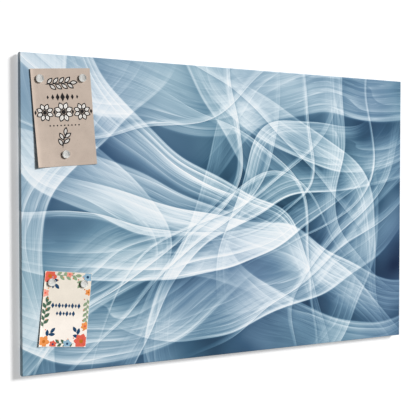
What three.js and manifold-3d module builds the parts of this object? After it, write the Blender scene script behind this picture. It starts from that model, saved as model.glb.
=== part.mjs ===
// A magnetic board for the wall: a folded steel tray faced with printed film, hung on keyhole
// corner plates, with two cards held on its front by five pot magnets.
// Lengths are millimetres. X runs to the right, Z up, and the display side faces -Y.
// The origin is the middle of the back, in the plane of the wall that the buffers touch.

import * as THREE from 'three';
import { mergeVertices } from 'three/addons/utils/BufferGeometryUtils.js';
import Module from 'manifold-3d';

const wasm = await Module();
wasm.setup();

// Overall size of the board, and the gap that its buffers keep to the wall
const BOARD_WIDTH = 900;
const BOARD_HEIGHT = 600;
const BOARD_DEPTH = 17;
const WALL_GAP = 2;

// Printed film, which wraps the front and the sides and turns over onto the rear lips
const FILM = 0.3;
const FILM_TURN = 5;
const FILM_SEAM = 0.4;
const FILM_EASE = 0.1;

// Steel tray, folded from one sheet, with lips turned in along the rear
const SHEET = 0.8;
const BEND = 1.2;
const LIP = 18;
const TRAY_SEAM = 0.6;
const RELIEF_RADIUS = 1.5;

// Hat stiffeners taped to the back of the display face
const STIFFENER_SHARE = 1 / 6;
const STIFFENER_SHEET = 0.8;
const STIFFENER_BEND = 1;
const STIFFENER_CROWN = 26;
const STIFFENER_SLOPE = 3;
const STIFFENER_FLANGE = 14;
const STIFFENER_CLEARANCE = 4;
const STIFFENER_END_GAP = 1;
const TAPE = 1;
const TAPE_WIDTH = 10;
const TAPE_SETBACK = 8;

// Corner plates with a keyhole that opens toward both edges, so that the board hangs any way up
const PLATE = 1.5;
const PLATE_EASE = 0.5;
const PLATE_LEG = 60;
const PLATE_WEB = 6.5;
const PLATE_CORNER = 3;
const KEY_ENTRY_RADIUS = 5.5;
const KEY_SLOT_RADIUS = 2.8;
const KEY_SLOT_LENGTH = 12;
const KEY_CLEARANCE = 6;

// Blind rivets that hold the corner plates under the lips
const RIVET_RADIUS = 2;
const RIVET_PLAY = 0.3;
const RIVET_HEAD_RADIUS = 3.6;
const RIVET_HEAD = 1.1;
const RIVET_TAIL_RADIUS = 2.9;
const RIVET_TAIL = 1.8;
const RIVET_END = 9;

// Rubber buffers pushed into the lips
const BUFFER_RADIUS = 4.2;
const BUFFER_ROUND = 0.6;
const BUFFER_NECK_RADIUS = 2.1;
const BUFFER_PLAY = 0.3;
const BUFFER_BULB_RADIUS = 2.9;
const BUFFER_BULB = 3.2;
const BUFFER_TIP_RADIUS = 1.4;
const BUFFER_FROM_END = 110;

// Cards, their gap to the film, and how far their free edges and corners stand forward
const CARD = 0.5;
const CARD_GAP = 0.3;
const NOTE_WIDTH = 115.5;
const NOTE_HEIGHT = 183;
const NOTE_FROM_LEFT = 82.7;
const NOTE_FROM_TOP = 117;
const NOTE_TILT = THREE.MathUtils.degToRad(-4.3);
const NOTE_EDGE_LIFT = 1.8;
const NOTE_LEFT_CORNER_LIFT = 4;
const NOTE_RIGHT_CORNER_LIFT = 1;
const INVITE_WIDTH = 92;
const INVITE_HEIGHT = 142;
const INVITE_FROM_LEFT = 83.4;
const INVITE_FROM_TOP = 480.3;
const INVITE_TILT = THREE.MathUtils.degToRad(5.7);
const INVITE_EDGE_LIFT = 1.2;
const INVITE_LEFT_CORNER_LIFT = 1.5;
const INVITE_RIGHT_CORNER_LIFT = 1;
const LEFT_CURL_TURN = THREE.MathUtils.degToRad(20);

// Pot magnets: a plated steel cup, open toward the board, with a magnet disc in it
const MAGNET_RADIUS = 7.5;
const MAGNET_HEIGHT = 4;
const MAGNET_GAP = 0.3;
const MAGNET_EASE = 0.5;
const CUP_WALL = 1.2;
const CUP_FACE = 1;
const CUP_EDGE = 0.8;
const CORE_PLAY = 0.3;
const CORE_RECESS = 0.2;

// Where the magnets sit, from the sides and the ends of their cards
const NOTE_MAGNET_FROM_SIDE = 16.5;
const NOTE_MAGNET_FROM_TOP = 18.5;
const NOTE_MAGNET_FROM_BOTTOM = 22;
const NOTE_MAGNET_OFF_CENTRE = 2.5;
const INVITE_MAGNET_FROM_LEFT = 14;
const INVITE_MAGNET_FROM_RIGHT = 14.5;
const INVITE_MAGNET_FROM_TOP = 20.5;

// How far every cutting tool runs past the face that it cuts
const OVERRUN = 1;

// Facets of each curve, and the grid that a card is bent on
const FOLD_STEPS = 2;
const HOLE_STEPS = 20;
const ARC_STEPS = 4;
const TURNED_STEPS = 24;
const RIVET_STEPS = 16;
const ROUND_STEPS = 3;
const CARD_COLUMNS = 12;
const CARD_EDGE_COLUMNS = 3;
const CARD_ROWS = 14;

// Planes that the pieces share, from the wall forward
const TRAY_WIDTH = BOARD_WIDTH - 2 * FILM;
const TRAY_HEIGHT = BOARD_HEIGHT - 2 * FILM;
const REAR = -WALL_GAP;
const TRAY_REAR = REAR - FILM;
const LIP_INSIDE = TRAY_REAR - SHEET;
const PLATE_INSIDE = LIP_INSIDE - PLATE;
const FRONT = REAR - BOARD_DEPTH;
const TRAY_FRONT = FRONT + FILM;
const FACE_INSIDE = TRAY_FRONT + SHEET;
const CARD_REAR = FRONT - CARD_GAP;
const MAGNET_REAR = CARD_REAR - CARD - MAGNET_GAP;

// Lines on the lips and the corner plates, measured in from the outer faces of the tray
const LIP_LINE = (FILM_TURN - FILM + LIP) / 2;
const PLATE_START = SHEET + BEND + PLATE_EASE;
const PLATE_END = PLATE_START + PLATE_LEG;
const KEY_SLOT_END = LIP + KEY_CLEARANCE;
const KEY_CENTRE = KEY_SLOT_END + KEY_SLOT_LENGTH;
const PLATE_NOSE = 2 * KEY_CENTRE + Math.SQRT2 * (KEY_ENTRY_RADIUS + PLATE_WEB) - PLATE_END;
const RIVET_ALONG = PLATE_END - RIVET_END;

const QUARTER = Math.PI / 2;

const FINISHES = {
  film: { color: 0xa9bfcb, roughness: 0.38, metalness: 0 },
  coatedSteel: { color: 0xd9dcdc, roughness: 0.5, metalness: 0.1 },
  zincSteel: { color: 0xa4a9ac, roughness: 0.42, metalness: 0.9 },
  foamTape: { color: 0x2f3234, roughness: 0.9, metalness: 0 },
  rivetAlloy: { color: 0xc3c6c8, roughness: 0.35, metalness: 1 },
  rubber: { color: 0x26282a, roughness: 0.8, metalness: 0 },
  craftPaper: { color: 0xc3b1a5, roughness: 0.9, metalness: 0 },
  creamPaper: { color: 0xf0e5d6, roughness: 0.85, metalness: 0 },
  nickel: { color: 0xcfcfca, roughness: 0.28, metalness: 1 },
  magnetCore: { color: 0x6d6f72, roughness: 0.4, metalness: 0.9 },
};

/** Makes a closed geometry into a solid that can be joined and cut. */
function toSolid(geometry) {
  const bare = geometry.clone();
  bare.deleteAttribute('normal');
  bare.deleteAttribute('uv');
  const merged = mergeVertices(bare);
  const corners = merged.index.array;
  const triangles = [];
  for (let i = 0; i < corners.length; i += 3) {
    const [a, b, c] = [corners[i], corners[i + 1], corners[i + 2]];
    if (a !== b && b !== c && c !== a) triangles.push(a, b, c);
  }
  return new wasm.Manifold(new wasm.Mesh({
    numProp: 3,
    vertProperties: new Float32Array(merged.attributes.position.array),
    triVerts: new Uint32Array(triangles),
  }));
}

/** Gives a solid back as a geometry. */
function toGeometry(solid) {
  const mesh = solid.getMesh();
  const geometry = new THREE.BufferGeometry();
  geometry.setAttribute('position', new THREE.BufferAttribute(mesh.vertProperties, 3));
  geometry.setIndex(new THREE.BufferAttribute(mesh.triVerts, 1));
  geometry.computeVertexNormals();
  return geometry;
}

/** Joins geometries that overlap or meet. */
function join(...geometries) {
  return toGeometry(geometries.map(toSolid).reduce((sum, solid) => sum.add(solid)));
}

/** Cuts every tool out of a geometry. */
function cut(geometry, ...tools) {
  return toGeometry(tools.map(toSolid).reduce((rest, tool) => rest.subtract(tool), toSolid(geometry)));
}

/** Keeps what two geometries share. */
function common(geometry, mask) {
  return toGeometry(toSolid(geometry).intersect(toSolid(mask)));
}

/** The arc that rounds a corner: its centre, where it starts, how far it turns and its radius. */
function fillet(before, corner, after, radius) {
  const into = corner.clone().sub(before).normalize();
  const out = after.clone().sub(corner).normalize();
  const turn = Math.atan2(into.cross(out), into.dot(out));
  const toCentre = new THREE.Vector2(-into.y, into.x).multiplyScalar(Math.sign(turn));
  const centre = corner.clone()
    .addScaledVector(into, -radius * Math.tan(Math.abs(turn) / 2))
    .addScaledVector(toCentre, radius);
  return { centre, start: Math.atan2(-toCentre.y, -toCentre.x), turn, radius };
}

/** The way that a line of points turns at one of its corners: 1 to the left, -1 to the right. */
function turnAt(line, i) {
  const into = line[i].clone().sub(line[i - 1]);
  const out = line[i + 1].clone().sub(line[i]);
  return Math.sign(into.cross(out));
}

/** Outline of a sheet of even gauge folded along a line of points, the sheet lying right of it. */
function foldedStrip(points, gauge, bend) {
  const line = points.map(([x, y]) => new THREE.Vector2(x, y));
  const shape = new THREE.Shape();
  const arcs = [];
  shape.moveTo(line[0].x, line[0].y);
  for (let i = 1; i < line.length - 1; i += 1) {
    const left = turnAt(line, i) > 0;
    const arc = fillet(line[i - 1], line[i], line[i + 1], left ? bend : bend + gauge);
    arcs.push({ ...arc, back: left ? bend + gauge : bend });
    shape.absarc(arc.centre.x, arc.centre.y, arc.radius, arc.start, arc.start + arc.turn, arc.turn < 0);
  }
  const across = (from, to) => to.clone().sub(from).normalize().rotateAround(new THREE.Vector2(), -QUARTER);
  const end = line[line.length - 1];
  const endBack = end.clone().addScaledVector(across(line[line.length - 2], end), gauge);
  const startBack = line[0].clone().addScaledVector(across(line[0], line[1]), gauge);
  shape.lineTo(end.x, end.y);
  shape.lineTo(endBack.x, endBack.y);
  for (const arc of arcs.reverse()) {
    shape.absarc(arc.centre.x, arc.centre.y, arc.back, arc.start + arc.turn, arc.start, arc.turn > 0);
  }
  shape.lineTo(startBack.x, startBack.y);
  return shape;
}

/** A closed outline with each corner rounded. */
function roundedOutline(points, radius) {
  const line = points.map(([x, y]) => new THREE.Vector2(x, y));
  const shape = new THREE.Shape();
  line.forEach((corner, i) => {
    const before = line[(i + line.length - 1) % line.length];
    const after = line[(i + 1) % line.length];
    const arc = fillet(before, corner, after, radius);
    const from = arc.centre.clone().add(new THREE.Vector2(Math.cos(arc.start), Math.sin(arc.start))
      .multiplyScalar(radius));
    if (i === 0) shape.moveTo(from.x, from.y);
    shape.absarc(arc.centre.x, arc.centre.y, radius, arc.start, arc.start + arc.turn, arc.turn < 0);
  });
  return shape;
}

/** An outline drawn in X and Z, made as thick as asked, from the plane y = front back toward +Y. */
function slab(shape, front, thickness, steps = ARC_STEPS) {
  return new THREE.ExtrudeGeometry(shape, { depth: thickness, bevelEnabled: false, curveSegments: steps })
    .rotateX(QUARTER)
    .translate(0, front + thickness, 0);
}

/** A folded section drawn in X and Y, run along Z about the origin. */
function bar(section, length) {
  return new THREE.ExtrudeGeometry(section, { depth: length, bevelEnabled: false, curveSegments: FOLD_STEPS })
    .translate(0, 0, -length / 2);
}

/** A closed outline through plain corners. */
function polygon(points) {
  return new THREE.Shape(points.map(([x, z]) => new THREE.Vector2(x, z)));
}

/** A rectangle about the origin. */
function rectangle(width, height) {
  const [x, z] = [width / 2, height / 2];
  return polygon([[-x, -z], [x, -z], [x, z], [-x, z]]);
}

/** A drill along Y that runs past both faces of what lies between two planes. */
function drill(x, z, radius, front, rear) {
  const length = rear - front + 2 * OVERRUN;
  return new THREE.CylinderGeometry(radius, radius, length, HOLE_STEPS)
    .translate(x, (front + rear) / 2, z);
}

/** A solid turned about the Y axis from a profile of radius and place along the axis. */
function turned(profile, steps) {
  return new THREE.LatheGeometry(profile.map(([radius, y]) => new THREE.Vector2(radius, y)), steps);
}

/** One side of a folded pan, on its left: part of the face, the return and the rear lip, mitred. */
function panSide(run, across, pan) {
  const { depth, gauge, bend, lip, seam } = pan;
  const section = foldedStrip([[lip, 0], [0, 0], [0, depth], [lip, depth]], gauge, bend);
  const strip = bar(section, run).translate(-across / 2, 0, 0);
  const outer = -across / 2 - OVERRUN;
  const inner = -across / 2 + lip + OVERRUN;
  const mitre = (x) => run / 2 - (x + across / 2) - seam * Math.SQRT1_2;
  const mask = polygon([
    [outer, -mitre(outer)], [inner, -mitre(inner)], [inner, mitre(inner)], [outer, mitre(outer)],
  ]);
  return common(strip, slab(mask, -OVERRUN, depth + 2 * OVERRUN));
}

/** A shallow pan folded from one sheet, open at the rear, its front face on y = 0. */
function foldedPan(width, height, pan) {
  const flat = pan.bend + pan.gauge;
  const sides = [0, 1, 2, 3].map((turn) => {
    const [run, across] = turn % 2 ? [width, height] : [height, width];
    return panSide(run, across, pan).rotateY(turn * QUARTER);
  });
  return join(slab(rectangle(width - 2 * flat, height - 2 * flat), 0, pan.gauge), ...sides);
}

/** The four corners of the tray, clockwise from the top left, each with its quarter turn. */
const CORNERS = [
  { name: 'top_left', x: -TRAY_WIDTH / 2, z: TRAY_HEIGHT / 2, turn: 0 },
  { name: 'top_right', x: TRAY_WIDTH / 2, z: TRAY_HEIGHT / 2, turn: QUARTER },
  { name: 'bottom_right', x: TRAY_WIDTH / 2, z: -TRAY_HEIGHT / 2, turn: 2 * QUARTER },
  { name: 'bottom_left', x: -TRAY_WIDTH / 2, z: -TRAY_HEIGHT / 2, turn: 3 * QUARTER },
];

/** Rivet places on a corner plate: one near the end of each leg, on the middle line of the lip. */
const RIVETS = [[RIVET_ALONG, -LIP_LINE], [LIP_LINE, -RIVET_ALONG]];

/** Buffer places: on the upper and the lower lip, the same distance in from both ends. */
const BUFFERS = [
  { name: 'top_left', x: -TRAY_WIDTH / 2 + BUFFER_FROM_END, z: TRAY_HEIGHT / 2 - LIP_LINE },
  { name: 'top_right', x: TRAY_WIDTH / 2 - BUFFER_FROM_END, z: TRAY_HEIGHT / 2 - LIP_LINE },
  { name: 'bottom_right', x: TRAY_WIDTH / 2 - BUFFER_FROM_END, z: -TRAY_HEIGHT / 2 + LIP_LINE },
  { name: 'bottom_left', x: -TRAY_WIDTH / 2 + BUFFER_FROM_END, z: -TRAY_HEIGHT / 2 + LIP_LINE },
];

/** Steel tray with relief holes where its folds meet, and the rivet and buffer holes in its lips. */
function steelTray() {
  const pan = { depth: BOARD_DEPTH - 2 * FILM, gauge: SHEET, bend: BEND, lip: LIP, seam: TRAY_SEAM };
  const tray = foldedPan(TRAY_WIDTH, TRAY_HEIGHT, pan).translate(0, TRAY_FRONT, 0);
  const fold = SHEET + BEND;
  const atCorner = (tool, corner) => tool.rotateY(corner.turn).translate(corner.x, 0, corner.z);
  const reliefs = CORNERS.map((corner) => atCorner(
    drill(fold, -fold, RELIEF_RADIUS, TRAY_FRONT, FACE_INSIDE), corner));
  const rivetHoles = CORNERS.flatMap((corner) => RIVETS.map(([x, z]) => atCorner(
    drill(x, z, RIVET_RADIUS + RIVET_PLAY, LIP_INSIDE, TRAY_REAR), corner)));
  const bufferHoles = BUFFERS.map(({ x, z }) => drill(
    x, z, BUFFER_NECK_RADIUS + BUFFER_PLAY, LIP_INSIDE, TRAY_REAR));
  return cut(tray, ...reliefs, ...rivetHoles, ...bufferHoles);
}

/** Printed film wrapped over the tray, slit at the corners. */
function printedFacing() {
  const inside = SHEET + BEND - FILM_EASE;
  const pan = { depth: BOARD_DEPTH, gauge: FILM, bend: inside, lip: FILM_TURN, seam: FILM_SEAM };
  return foldedPan(BOARD_WIDTH, BOARD_HEIGHT, pan).translate(0, FRONT, 0);
}

/** Width of a stiffener over its flanges. */
const STIFFENER_WIDTH = STIFFENER_CROWN + 2 * (STIFFENER_SLOPE + STIFFENER_FLANGE);

/** Length of a stiffener, which runs under the lips almost to the top and bottom returns. */
const STIFFENER_LENGTH = TRAY_HEIGHT - 2 * (SHEET + BEND + STIFFENER_END_GAP);

/** Hat section folded from strip, open toward the face, its flanges on the tape. */
function stiffener() {
  const flange = FACE_INSIDE + TAPE + STIFFENER_SHEET;
  const crown = LIP_INSIDE - STIFFENER_CLEARANCE;
  const half = STIFFENER_CROWN / 2;
  const foot = half + STIFFENER_SLOPE;
  const edge = foot + STIFFENER_FLANGE;
  const section = foldedStrip(
    [[-edge, flange], [-foot, flange], [-half, crown], [half, crown], [foot, flange], [edge, flange]],
    STIFFENER_SHEET, STIFFENER_BEND);
  return bar(section, STIFFENER_LENGTH);
}

/** Strip of foam tape under the flange on one side of a stiffener, -1 for the left one. */
function bondTape(side) {
  const line = side * (STIFFENER_WIDTH - STIFFENER_FLANGE) / 2;
  return new THREE.BoxGeometry(TAPE_WIDTH, TAPE, STIFFENER_LENGTH - 2 * TAPE_SETBACK)
    .translate(line, FACE_INSIDE + TAPE / 2, 0);
}

/** Corner plate in the frame of the top left corner, with the crossed keyhole slots. */
function cornerPlate() {
  const outline = roundedOutline([
    [PLATE_START, -PLATE_START], [PLATE_START, -PLATE_END], [PLATE_NOSE, -PLATE_END],
    [PLATE_END, -PLATE_NOSE], [PLATE_END, -PLATE_START],
  ], PLATE_CORNER);
  const slot = new THREE.Shape();
  slot.absarc(KEY_SLOT_END, -KEY_CENTRE, KEY_SLOT_RADIUS, QUARTER, 3 * QUARTER, false);
  slot.absarc(KEY_CENTRE, -KEY_CENTRE, KEY_SLOT_RADIUS, -QUARTER, QUARTER, false);
  const sideSlot = slab(slot, PLATE_INSIDE - OVERRUN, PLATE + 2 * OVERRUN, 2 * ARC_STEPS);
  const upperSlot = sideSlot.clone()
    .translate(-KEY_CENTRE, 0, KEY_CENTRE)
    .rotateY(QUARTER)
    .translate(KEY_CENTRE, 0, -KEY_CENTRE);
  const entry = drill(KEY_CENTRE, -KEY_CENTRE, KEY_ENTRY_RADIUS, PLATE_INSIDE, LIP_INSIDE);
  const rivetHoles = RIVETS.map(([x, z]) => drill(x, z, RIVET_RADIUS + RIVET_PLAY, PLATE_INSIDE, LIP_INSIDE));
  return cut(slab(outline, PLATE_INSIDE, PLATE), entry, sideSlot, upperSlot, ...rivetHoles);
}

/** Blind rivet along Y: the formed tail on the plate, the shank, and the domed head on the lip. */
function rivet() {
  const dome = Array.from({ length: ROUND_STEPS }, (_, i) => {
    const angle = ((i + 1) / ROUND_STEPS) * QUARTER;
    return [RIVET_HEAD_RADIUS * Math.cos(angle), TRAY_REAR + RIVET_HEAD * Math.sin(angle)];
  });
  dome[dome.length - 1][0] = 0;
  return turned([
    [0, PLATE_INSIDE - RIVET_TAIL],
    [RIVET_RADIUS, PLATE_INSIDE - RIVET_TAIL],
    [RIVET_TAIL_RADIUS, PLATE_INSIDE - RIVET_TAIL / 2],
    [RIVET_TAIL_RADIUS, PLATE_INSIDE],
    [RIVET_RADIUS, PLATE_INSIDE],
    [RIVET_RADIUS, TRAY_REAR],
    [RIVET_HEAD_RADIUS, TRAY_REAR],
    ...dome,
  ], RIVET_STEPS);
}

/** Rubber buffer along Y: a bulb behind the lip, a neck through it, and the pad on the wall. */
function buffer() {
  return turned([
    [0, LIP_INSIDE - BUFFER_BULB],
    [BUFFER_TIP_RADIUS, LIP_INSIDE - BUFFER_BULB],
    [BUFFER_BULB_RADIUS, LIP_INSIDE],
    [BUFFER_NECK_RADIUS, LIP_INSIDE],
    [BUFFER_NECK_RADIUS, TRAY_REAR],
    [BUFFER_RADIUS, TRAY_REAR],
    [BUFFER_RADIUS, -BUFFER_ROUND],
    [BUFFER_RADIUS - BUFFER_ROUND, 0],
    [0, 0],
  ], RIVET_STEPS);
}

const TO_LEFT = new THREE.Vector2(-1, 0);
const TO_LOWER_LEFT = new THREE.Vector2(-Math.cos(LEFT_CURL_TURN), -Math.sin(LEFT_CURL_TURN));
const TO_LOWER_RIGHT = new THREE.Vector2(1, -1).normalize();

/** How far the card's outline reaches from its middle in one direction. */
function reach(card, toward) {
  return (Math.abs(toward.x) * card.width + Math.abs(toward.y) * card.height) / 2;
}

/** How much of the card is free to bend in one direction, past the last magnet that pins it. */
function freeSpan(card, toward) {
  const pinned = Math.max(...card.magnets.map(({ x, z }) => toward.x * x + toward.y * z));
  return reach(card, toward) - pinned - MAGNET_RADIUS - MAGNET_EASE;
}

/** A card that lies flat where it is pinned and bends forward toward its free edge and corners. */
function curledCard(card) {
  const sheet = new THREE.BoxGeometry(card.width, CARD, card.height, CARD_COLUMNS, 1, CARD_ROWS)
    .translate(0, CARD_REAR - CARD / 2, 0);
  const edgeSpan = freeSpan(card, TO_LEFT);
  const bends = card.curls.map(({ toward, lift }) => (
    { toward, lift, span: freeSpan(card, toward), far: reach(card, toward) }));
  const place = sheet.attributes.position;
  for (let i = 0; i < place.count; i += 1) {
    const column = (place.getX(i) / card.width + 1 / 2) * CARD_COLUMNS;
    const past = Math.max(0, column - CARD_EDGE_COLUMNS) / (CARD_COLUMNS - CARD_EDGE_COLUMNS);
    const along = Math.min(1, column / CARD_EDGE_COLUMNS);
    const x = -card.width / 2 + edgeSpan * along + (card.width - edgeSpan) * past;
    const z = place.getZ(i);
    const forward = bends.reduce((sum, { toward, lift, span, far }) => {
      const share = Math.max(0, toward.x * x + toward.y * z - far + span) / span;
      return sum + lift * share ** 2;
    }, 0);
    place.setX(i, x);
    place.setY(i, place.getY(i) - forward);
  }
  return sheet;
}

/** Cup of a pot magnet, turned about Y, with a rounded front edge. */
function magnetCup() {
  const front = MAGNET_REAR - MAGNET_HEIGHT;
  const edge = Array.from({ length: ROUND_STEPS + 1 }, (_, i) => {
    const angle = (i / ROUND_STEPS) * QUARTER;
    return [
      MAGNET_RADIUS - CUP_EDGE * (1 - Math.sin(angle)),
      front + CUP_EDGE * (1 - Math.cos(angle)),
    ];
  });
  return turned([
    [0, front],
    ...edge,
    [MAGNET_RADIUS, MAGNET_REAR],
    [MAGNET_RADIUS - CUP_WALL, MAGNET_REAR],
    [MAGNET_RADIUS - CUP_WALL, front + CUP_FACE],
    [0, front + CUP_FACE],
  ], TURNED_STEPS);
}

/** Magnet disc in the cup, just short of the rim. */
function magnetCore() {
  const radius = MAGNET_RADIUS - CUP_WALL - CORE_PLAY;
  const front = MAGNET_REAR - MAGNET_HEIGHT + CUP_FACE + CORE_PLAY;
  const rear = MAGNET_REAR - CORE_RECESS;
  return turned([[0, front], [radius, front], [radius, rear], [0, rear]], TURNED_STEPS);
}

/** Names a geometry and gives it its finish. */
function piece(name, geometry, finish) {
  const mesh = new THREE.Mesh(geometry, new THREE.MeshStandardMaterial(finish));
  mesh.name = name;
  return mesh;
}

/** The tray with its film, stiffeners and tape. */
function trayAssembly() {
  const group = new THREE.Group();
  group.add(piece('steel_tray', steelTray(), FINISHES.coatedSteel));
  group.add(piece('printed_facing', printedFacing(), FINISHES.film));
  for (const [side, sign] of [['left', -1], ['right', 1]]) {
    const rib = new THREE.Group();
    rib.position.x = sign * BOARD_WIDTH * STIFFENER_SHARE;
    rib.add(piece(`stiffener_${side}`, stiffener(), FINISHES.zincSteel));
    rib.add(piece(`bond_tape_${side}_outer`, bondTape(sign), FINISHES.foamTape));
    rib.add(piece(`bond_tape_${side}_inner`, bondTape(-sign), FINISHES.foamTape));
    group.add(rib);
  }
  return group;
}

/** The corner plates with their rivets, and the buffers. */
function hangingAssembly() {
  const group = new THREE.Group();
  for (const corner of CORNERS) {
    const mount = new THREE.Group();
    mount.position.set(corner.x, 0, corner.z);
    mount.rotation.y = corner.turn;
    mount.add(piece(`corner_plate_${corner.name}`, cornerPlate(), FINISHES.zincSteel));
    RIVETS.forEach(([x, z], i) => {
      const mesh = piece(`rivet_${corner.name}_${i + 1}`, rivet(), FINISHES.rivetAlloy);
      mesh.position.set(x, 0, z);
      mount.add(mesh);
    });
    group.add(mount);
  }
  for (const { name, x, z } of BUFFERS) {
    const mesh = piece(`buffer_${name}`, buffer(), FINISHES.rubber);
    mesh.position.set(x, 0, z);
    group.add(mesh);
  }
  return group;
}

/** A card on the board, turned about its middle, with the magnets that hold it. */
function pinnedCard(card) {
  const group = new THREE.Group();
  group.position.set(-BOARD_WIDTH / 2 + card.fromLeft, 0, BOARD_HEIGHT / 2 - card.fromTop);
  group.rotation.y = card.tilt;
  group.add(piece(card.name, curledCard(card), card.finish));
  for (const { name, x, z } of card.magnets) {
    const magnet = new THREE.Group();
    magnet.position.set(x, 0, z);
    magnet.add(piece(`${name}_cup`, magnetCup(), FINISHES.nickel));
    magnet.add(piece(`${name}_core`, magnetCore(), FINISHES.magnetCore));
    group.add(magnet);
  }
  return group;
}

const noteSide = NOTE_WIDTH / 2 - NOTE_MAGNET_FROM_SIDE;
const noteTop = NOTE_HEIGHT / 2 - NOTE_MAGNET_FROM_TOP;
const inviteTop = INVITE_HEIGHT / 2 - INVITE_MAGNET_FROM_TOP;

/** Tall note card, pinned at both upper corners and low in the middle. */
const NOTE = {
  name: 'note_card',
  finish: FINISHES.craftPaper,
  width: NOTE_WIDTH,
  height: NOTE_HEIGHT,
  fromLeft: NOTE_FROM_LEFT,
  fromTop: NOTE_FROM_TOP,
  tilt: NOTE_TILT,
  magnets: [
    { name: 'note_magnet_left', x: -noteSide, z: noteTop },
    { name: 'note_magnet_right', x: noteSide, z: noteTop },
    { name: 'note_magnet_lower', x: -NOTE_MAGNET_OFF_CENTRE, z: -NOTE_HEIGHT / 2 + NOTE_MAGNET_FROM_BOTTOM },
  ],
  curls: [
    { toward: TO_LEFT, lift: NOTE_EDGE_LIFT },
    { toward: TO_LOWER_LEFT, lift: NOTE_LEFT_CORNER_LIFT },
    { toward: TO_LOWER_RIGHT, lift: NOTE_RIGHT_CORNER_LIFT },
  ],
};

/** Small invitation card, pinned near its top, with a free lower end. */
const INVITE = {
  name: 'invite_card',
  finish: FINISHES.creamPaper,
  width: INVITE_WIDTH,
  height: INVITE_HEIGHT,
  fromLeft: INVITE_FROM_LEFT,
  fromTop: INVITE_FROM_TOP,
  tilt: INVITE_TILT,
  magnets: [
    { name: 'invite_magnet_left', x: -INVITE_WIDTH / 2 + INVITE_MAGNET_FROM_LEFT, z: inviteTop },
    { name: 'invite_magnet_right', x: INVITE_WIDTH / 2 - INVITE_MAGNET_FROM_RIGHT, z: inviteTop },
  ],
  curls: [
    { toward: TO_LEFT, lift: INVITE_EDGE_LIFT },
    { toward: TO_LOWER_LEFT, lift: INVITE_LEFT_CORNER_LIFT },
    { toward: TO_LOWER_RIGHT, lift: INVITE_RIGHT_CORNER_LIFT },
  ],
};

const board = new THREE.Group();
board.add(trayAssembly());
board.add(hangingAssembly());
board.add(pinnedCard(NOTE));
board.add(pinnedCard(INVITE));

export default board;
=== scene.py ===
"""A printed magnetic board on a wall, with two cards held on it by five round magnets."""

import logging
import math
import random
from collections.abc import Iterable, Sequence
from dataclasses import dataclass, replace
from enum import Enum

import bmesh
import bpy
from mathutils import Matrix, Vector


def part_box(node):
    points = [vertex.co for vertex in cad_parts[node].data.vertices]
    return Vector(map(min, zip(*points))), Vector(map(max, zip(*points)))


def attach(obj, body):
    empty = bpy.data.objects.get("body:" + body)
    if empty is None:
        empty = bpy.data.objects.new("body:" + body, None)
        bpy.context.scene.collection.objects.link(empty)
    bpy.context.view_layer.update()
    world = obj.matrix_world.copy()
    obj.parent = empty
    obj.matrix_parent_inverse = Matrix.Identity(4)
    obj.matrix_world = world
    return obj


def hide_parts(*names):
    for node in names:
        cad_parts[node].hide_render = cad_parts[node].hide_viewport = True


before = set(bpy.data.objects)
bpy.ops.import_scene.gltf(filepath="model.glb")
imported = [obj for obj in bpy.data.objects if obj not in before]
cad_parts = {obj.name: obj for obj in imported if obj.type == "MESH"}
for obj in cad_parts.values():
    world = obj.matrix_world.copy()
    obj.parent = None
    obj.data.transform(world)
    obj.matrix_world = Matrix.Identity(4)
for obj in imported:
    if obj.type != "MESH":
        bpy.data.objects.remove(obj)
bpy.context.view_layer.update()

log = logging.getLogger("magnetic_board")

MM = 0.001
TURNING_MAP = "turning"
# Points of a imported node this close, in metres, are one point, and a point this close to a plane is on it.
TOUCHING = 1e-6
# Points of a new shape this close are one point.
COINCIDENT = 1e-7
# A face whose normal has this much of an axis faces along it.
FACING = 0.999
# Nearly all of a noise's values lie in this range.
NOISE_SPAN = (0.3, 0.7)

Colour = tuple[float, float, float, float]
Span = tuple[float, float]
Sockets = bpy.types.bpy_prop_collection
Feed = bpy.types.NodeSocket | float | Sequence[float] | None


def srgb(red: int, green: int, blue: int) -> Colour:
    """Turns a colour written in screen values into the linear one that a shader takes.

    Args:
        red: Red, 0 to 255.
        green: Green, 0 to 255.
        blue: Blue, 0 to 255.

    Returns:
        The linear colour, opaque.
    """
    def linear(channel: float) -> float:
        """Undoes the screen's curve for one channel."""
        return channel / 12.92 if channel <= 0.04045 else ((channel + 0.055) / 1.055) ** 2.4

    return (linear(red / 255), linear(green / 255), linear(blue / 255), 1.0)


class SharedGroup(Enum):
    """The effects that more than one finish or place uses."""

    GRAIN = "grain"
    SPANGLE = "spangle"
    SCUFFS = "scuffs"
    VEIL = "veil"


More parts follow.
